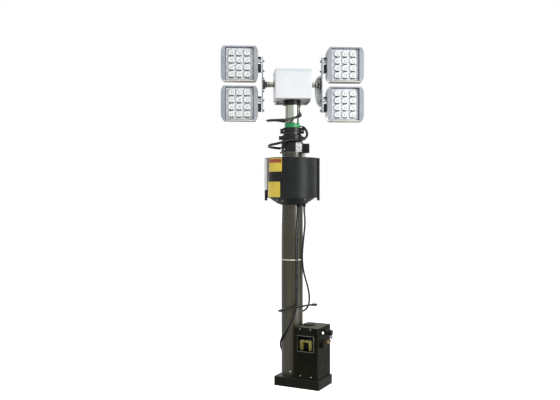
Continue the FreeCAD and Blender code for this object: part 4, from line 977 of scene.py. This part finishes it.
def junction_trim():
    """Lid and screws of the junction box, black discs that paint the shade in holes, a plate on its block, and the
    ribbed conduit fitting.
    """
    piece = Piece("junction_trim", turned=DRUM)
    piece.box((58.6, -73.6, 1363.6), (98.4, -71.8, 1414.4), "plastic", bevel=0.8)
    for x, z in grid((62, 95), (1367, 1411)):
        pan_screw(piece, (x, -73.6, z), FRONT, 2.2, "dark_steel")
    # Thin black discs in place of holes: painted shade.
    for x, z, radius in ((37.6, 1416, 3), (53.3, 1417, 3), (41.6, 1390, 3), (54, 1377, 3.4), (27, 1374, 2.6)):
        piece.solid([(radius, 0), (radius, 0.5)], "black", facing((x, -71.9, z), FRONT), 20)
    piece.box((24, -72.7, 1396), (54, -71.8, 1410), "milled", bevel=0.4)
    piece.box((98, -66, 1372), (101, -44, 1408), "plastic", bevel=0.8)
    piece.finish(slot="bright_metal")

    gland = Piece("conduit_fitting", turned=DRUM)
    for z, way in ((DRUM_TOP, UP), (1362, DOWN)):
        at = facing((72, -54.5, z), way)
        gland.prism(ring_outline(12, 8), 6, "conduit", at, 0.8)
        gland.solid([(10.4, 6), (10.4, 9), (9.4, 10)], "conduit", at, 32)
    gland.tube([(72, -54.5, DRUM_TOP + k) for k in range(36)], [8.3 + 0.7 * (k % 3 == 1) for k in range(36)],
               "conduit", 24)
    gland.finish("junction_gland", slot="bright_metal")


junction_trim()


def cable_glands():
    """The glands the cables go through, under and on the drum and on the plinth."""
    piece = Piece("gland_set", turned=DRUM)
    for x, y, _ in (FRONT_CABLE[0], WRAPPED_CABLE[0]):
        gland_body(piece, x, y, DRUM_LOW, 18, 10, up=False)
    gland_body(piece, *FRONT_CABLE[-1][:2], 54, 18, 10)
    gland_body(piece, *COIL_BOTTOM[-1][:2], DRUM_TOP, 10, 10)
    piece.finish("cable_glands", slot="black_plastic")


cable_glands()


# Tube and control box

BOX_FRONT, BOX_BACK, BOX_SIDE = -90, 90, 207


def tube_trim():
    piece = Piece("tube_screws")
    for turn in (16.7, 136.7, 256.7):
        socket_screw(piece, on_ring(63.3, turn, 82.3), outward(turn), 4.2, "zinc", 2.4)
    piece.finish(slot="bright_metal")


tube_trim()


def box_trim():
    """Screws and the window's bead on the box, ribs of its cap, and the parts behind the pane."""
    piece = Piece("box_screws")
    for x, z in ((95, 344), (161, 344.7), (97, 73.1), (163.6, 70.6)):
        socket_screw(piece, (x, BOX_FRONT, z), FRONT, 3.7, "steel", 2.6)
    for y, z in grid((-70, 72), (74, 335)):
        socket_screw(piece, (BOX_SIDE, y, z), RIGHT, 3.2, "dark_steel", 1.8)
    for x, z in grid((90, 190), (80, 330)):
        socket_screw(piece, (x, BOX_BACK, z), BACK, 3.2, "dark_steel", 1.8)
    bead = ((76.5, 305.6), (176, 305.6), (181, 303), (182.6, 298), (182.6, 222), (181, 217), (176, 214.4),
            (76.5, 214.4))
    piece.tube([(x, -93.8, z) for x, z in bead], 1.0, "bead")
    piece.finish(slot="bright_metal")

    cap = Piece("cap_ribs")
    ribs(cap, 36, (34, -0.9, 0.2), (35.9, 0.9, 3.8), shift((106.5, 8, 353)))
    cap.box((103.5, -12, 359.9), (109.5, 28, 360.4), "plastic", bevel=0.2)
    cap.finish(slot="black_plastic")

    inside = Piece("valve_trim")
    for x in (91, 148):
        for z in (224, 262):
            pan_screw(inside, (x, -66, z), FRONT, 2.6, "brass")
        for z in range(230, 258, 4):
            inside.box((x - 8.8, -66.6, z), (x + 8.8, -65.8, z + 1.6), "yellow", bevel=0.2)
    inside.box((113, -52, 222), (126, -47.8, 262), "plastic", bevel=1)
    for z in (230, 242, 254):
        pan_screw(inside, (119.5, -52, z), FRONT, 2.4, "dark_steel")
    inside.finish(slot="yellow_plastic")


box_trim()


def air_fittings():
    """The inlet, plug, regulator with its bowl, and silencer on the control box's right side."""
    inlet = Piece("inlet_coupling")
    at = facing((BOX_SIDE, -48, 323), RIGHT)
    inlet.prism(ring_outline(9.4, 6), 5, "dark_steel", at, 1)
    inlet.lathe([(4, 5), (8.6, 5), (10, 6.4), (10.4, 9), (10.4, 13), (9.6, 16), (7.6, 18), (6.4, 18.4), (6.4, 21),
                 (4, 21)], "chrome", at, 36)
    inlet.finish("air_inlet", slot="chrome_fitting")

    plug = Piece("box_plug")
    at = facing((BOX_SIDE, -40, 250), RIGHT)
    plug.lathe([(0, 0), (10, 0), (10, 3), (15, 3.6), (15.6, 5), (15.6, 17), (14.6, 20), (12, 21.6), (5.2, 22),
                (5, 17), (0, 16.6)], "plastic", at, 40)
    ribs(plug, 20, (15, -0.9, 6), (16.2, 0.9, 16), at)
    plug.finish("blank_plug", slot="black_plastic")

    regulator = Piece("regulator_body")
    at = facing((BOX_SIDE, 10, 318), RIGHT)
    regulator.prism(ring_outline(12, 8), 8, "black", at, 0.8)
    regulator.solid([(15.4, 8), (17, 9.6), (17, 20), (15.8, 21), (15.8, 23), (17, 24), (17, 27)], "black", at, 40)
    regulator.solid([(14, 27), (14, 29), (16, 29.6), (16, 43.6), (14.4, 46)], "plastic", at, 40)
    ribs(regulator, 24, (15.4, -0.9, 30), (16.8, 0.9, 43), at)
    regulator.box((225, 9, 310), (241, 52, 321), "black", bevel=2, segments=3)
    regulator.solid([(8.6, 0), (8.6, 3)], "plastic", facing((233, 44, 321), UP), 28)
    regulator.finish("air_regulator", slot="black_plastic")

    bowl = Piece("bowl_inside")
    at = facing((233, 44, 310), DOWN)
    bowl.solid([(8.2, 0), (8.2, 4), (7.7, 4.6)], "plastic", at, 32)
    bowl.solid([(3.4, 4.6), (3.4, 20), (2.4, 21)], "white_plastic", at, 24)
    bowl.solid([(3, 32), (3, 34), (2, 35.4)], "plastic", at, 20)
    bowl.finish(slot="black_plastic")

    silencer = Piece("silencer_body")
    silencer.solid([(7.5, 0), (7.5, 3), (5.5, 3.6), (5.5, 9)], "brass", facing((BOX_SIDE, -4, 264), RIGHT), 28)
    silencer.box((215, -13, 254), (235, 5, 274), "brass", bevel=1.6, segments=3)
    at = facing((225, 3, 264), BACK)
    silencer.prism(ring_outline(9.6, 6), 8, "brass", at, 0.8)
    silencer.lathe([(0, 8), (8, 8), (8, 18), (10, 18.4), (10, 31.6), (8, 32), (7.6, 36), (5, 38.6), (0, 39)],
                   "bronze", at, 36)
    silencer.finish("brass_silencer", slot="brass_fitting")


air_fittings()


def cable_ties():
    """Two ties on the front cable and one on the wrapped cable."""
    piece = Piece("cable_ties", turned=DRUM)
    radius = CABLE_RADIUS + 0.1
    for points, index in ((FRONT_CABLE, 4), (FRONT_CABLE, 8), (WRAPPED_CABLE, 5)):
        along = (Vector(points[index + 1]) - Vector(points[index - 1])).normalized()
        at = facing(Vector(points[index]) - along * 2, along)
        piece.lathe([(radius - 1.2, 0), (radius, 0), (radius, 4), (radius - 1.2, 4)], "plastic", at, 28)
        piece.box((radius - 1, -2.4, -0.6), (radius + 2.6, 2.4, 4.6), "plastic", at, 0.5)
    piece.finish(slot="cable_rubber")


cable_ties()


# Studio: a pale floor, a white surround and soft lamps

def surround():
    """White where the camera, a reflection or glass sees it, and dimmer as light on the part."""
    scene = bpy.context.scene
    scene.view_settings.view_transform = "Standard"
    world = bpy.data.worlds.new("surround")
    scene.world = world
    sky = Tree(world)
    ground = sky.tree.nodes["Background"]
    ground.inputs["Color"].default_value = (1, 1, 1, 1)
    path = sky.node("ShaderNodeLightPath")
    seen = path.outputs["Is Camera Ray"]
    for ray in ("Is Glossy Ray", "Is Transmission Ray"):
        also = sky.node("ShaderNodeMath", operation="ADD")
        sky.link(seen, also.inputs[0])
        sky.link(path.outputs[ray], also.inputs[1])
        seen = also.outputs[0]
    level = sky.node("ShaderNodeMapRange")
    level.inputs["To Min"].default_value = 0.36
    level.inputs["To Max"].default_value = 1.0
    sky.link(seen, level.inputs["Value"])
    sky.link(level.outputs["Result"], ground.inputs["Strength"])


def pale_floor():
    """A matt floor that glows a little for the camera, so that it meets the white surround."""
    size = 30
    data = bpy.data.meshes.new("floor")
    data.from_pydata([(-size, -size, 0), (size, -size, 0), (size, size, 0), (-size, size, 0)], [], [(0, 1, 2, 3)])
    floor = bpy.data.objects.new("floor", data)
    bpy.context.scene.collection.objects.link(floor)
    material = bpy.data.materials.new("floor")
    mix = Tree(material)
    mix.tree.nodes.remove(mix.tree.nodes["Principled BSDF"])
    matt = mix.node("ShaderNodeBsdfDiffuse", Color=(0.85, 0.85, 0.85, 1))
    glow = mix.node("ShaderNodeEmission", Strength=0.8)
    both = mix.node("ShaderNodeAddShader")
    path = mix.node("ShaderNodeLightPath")
    choose = mix.node("ShaderNodeMixShader")
    for out, into in (
        (matt.outputs[0], both.inputs[0]), (glow.outputs[0], both.inputs[1]),
        (path.outputs["Is Camera Ray"], choose.inputs[0]), (matt.outputs[0], choose.inputs[1]),
        (both.outputs[0], choose.inputs[2]),
        (choose.outputs[0], mix.tree.nodes["Material Output"].inputs["Surface"]),
    ):
        mix.link(out, into)
    data.materials.append(material)


def soft_lamps():
    """Three soft lamps and a weak sun: power in watts, places and sizes in metres."""
    objects = bpy.context.scene.collection.objects
    aim = Vector((0, 0, 1.2))
    for name, place, wide, tall, power, on_paint, in_gloss in (
        ("key", (3.4, -0.6, 1.5), 2.0, 3.0, 120, True, True),
        ("fill", (-2.2, -3.6, 2.5), 2.4, 2.0, 52, True, False),
        ("rim", (-3.0, 2.6, 1.25), 1.6, 0.9, 40, False, True),
    ):
        lamp = bpy.data.lights.new(name, "AREA")
        lamp.shape = "RECTANGLE"
        lamp.size = wide
        lamp.size_y = tall
        lamp.energy = power
        made = bpy.data.objects.new(name, lamp)
        made.location = place
        made.rotation_euler = (aim - Vector(place)).to_track_quat("-Z", "Y").to_euler()
        made.visible_diffuse = on_paint
        made.visible_glossy = in_gloss
        objects.link(made)
    sun = bpy.data.lights.new("top_light", "SUN")
    sun.energy = 0.7
    sun.angle = math.radians(50)
    made = bpy.data.objects.new("top_light", sun)
    made.rotation_euler = Vector((-0.5, 0.8, -1.5)).to_track_quat("-Z", "Y").to_euler()
    objects.link(made)


surround()
pale_floor()
soft_lamps()
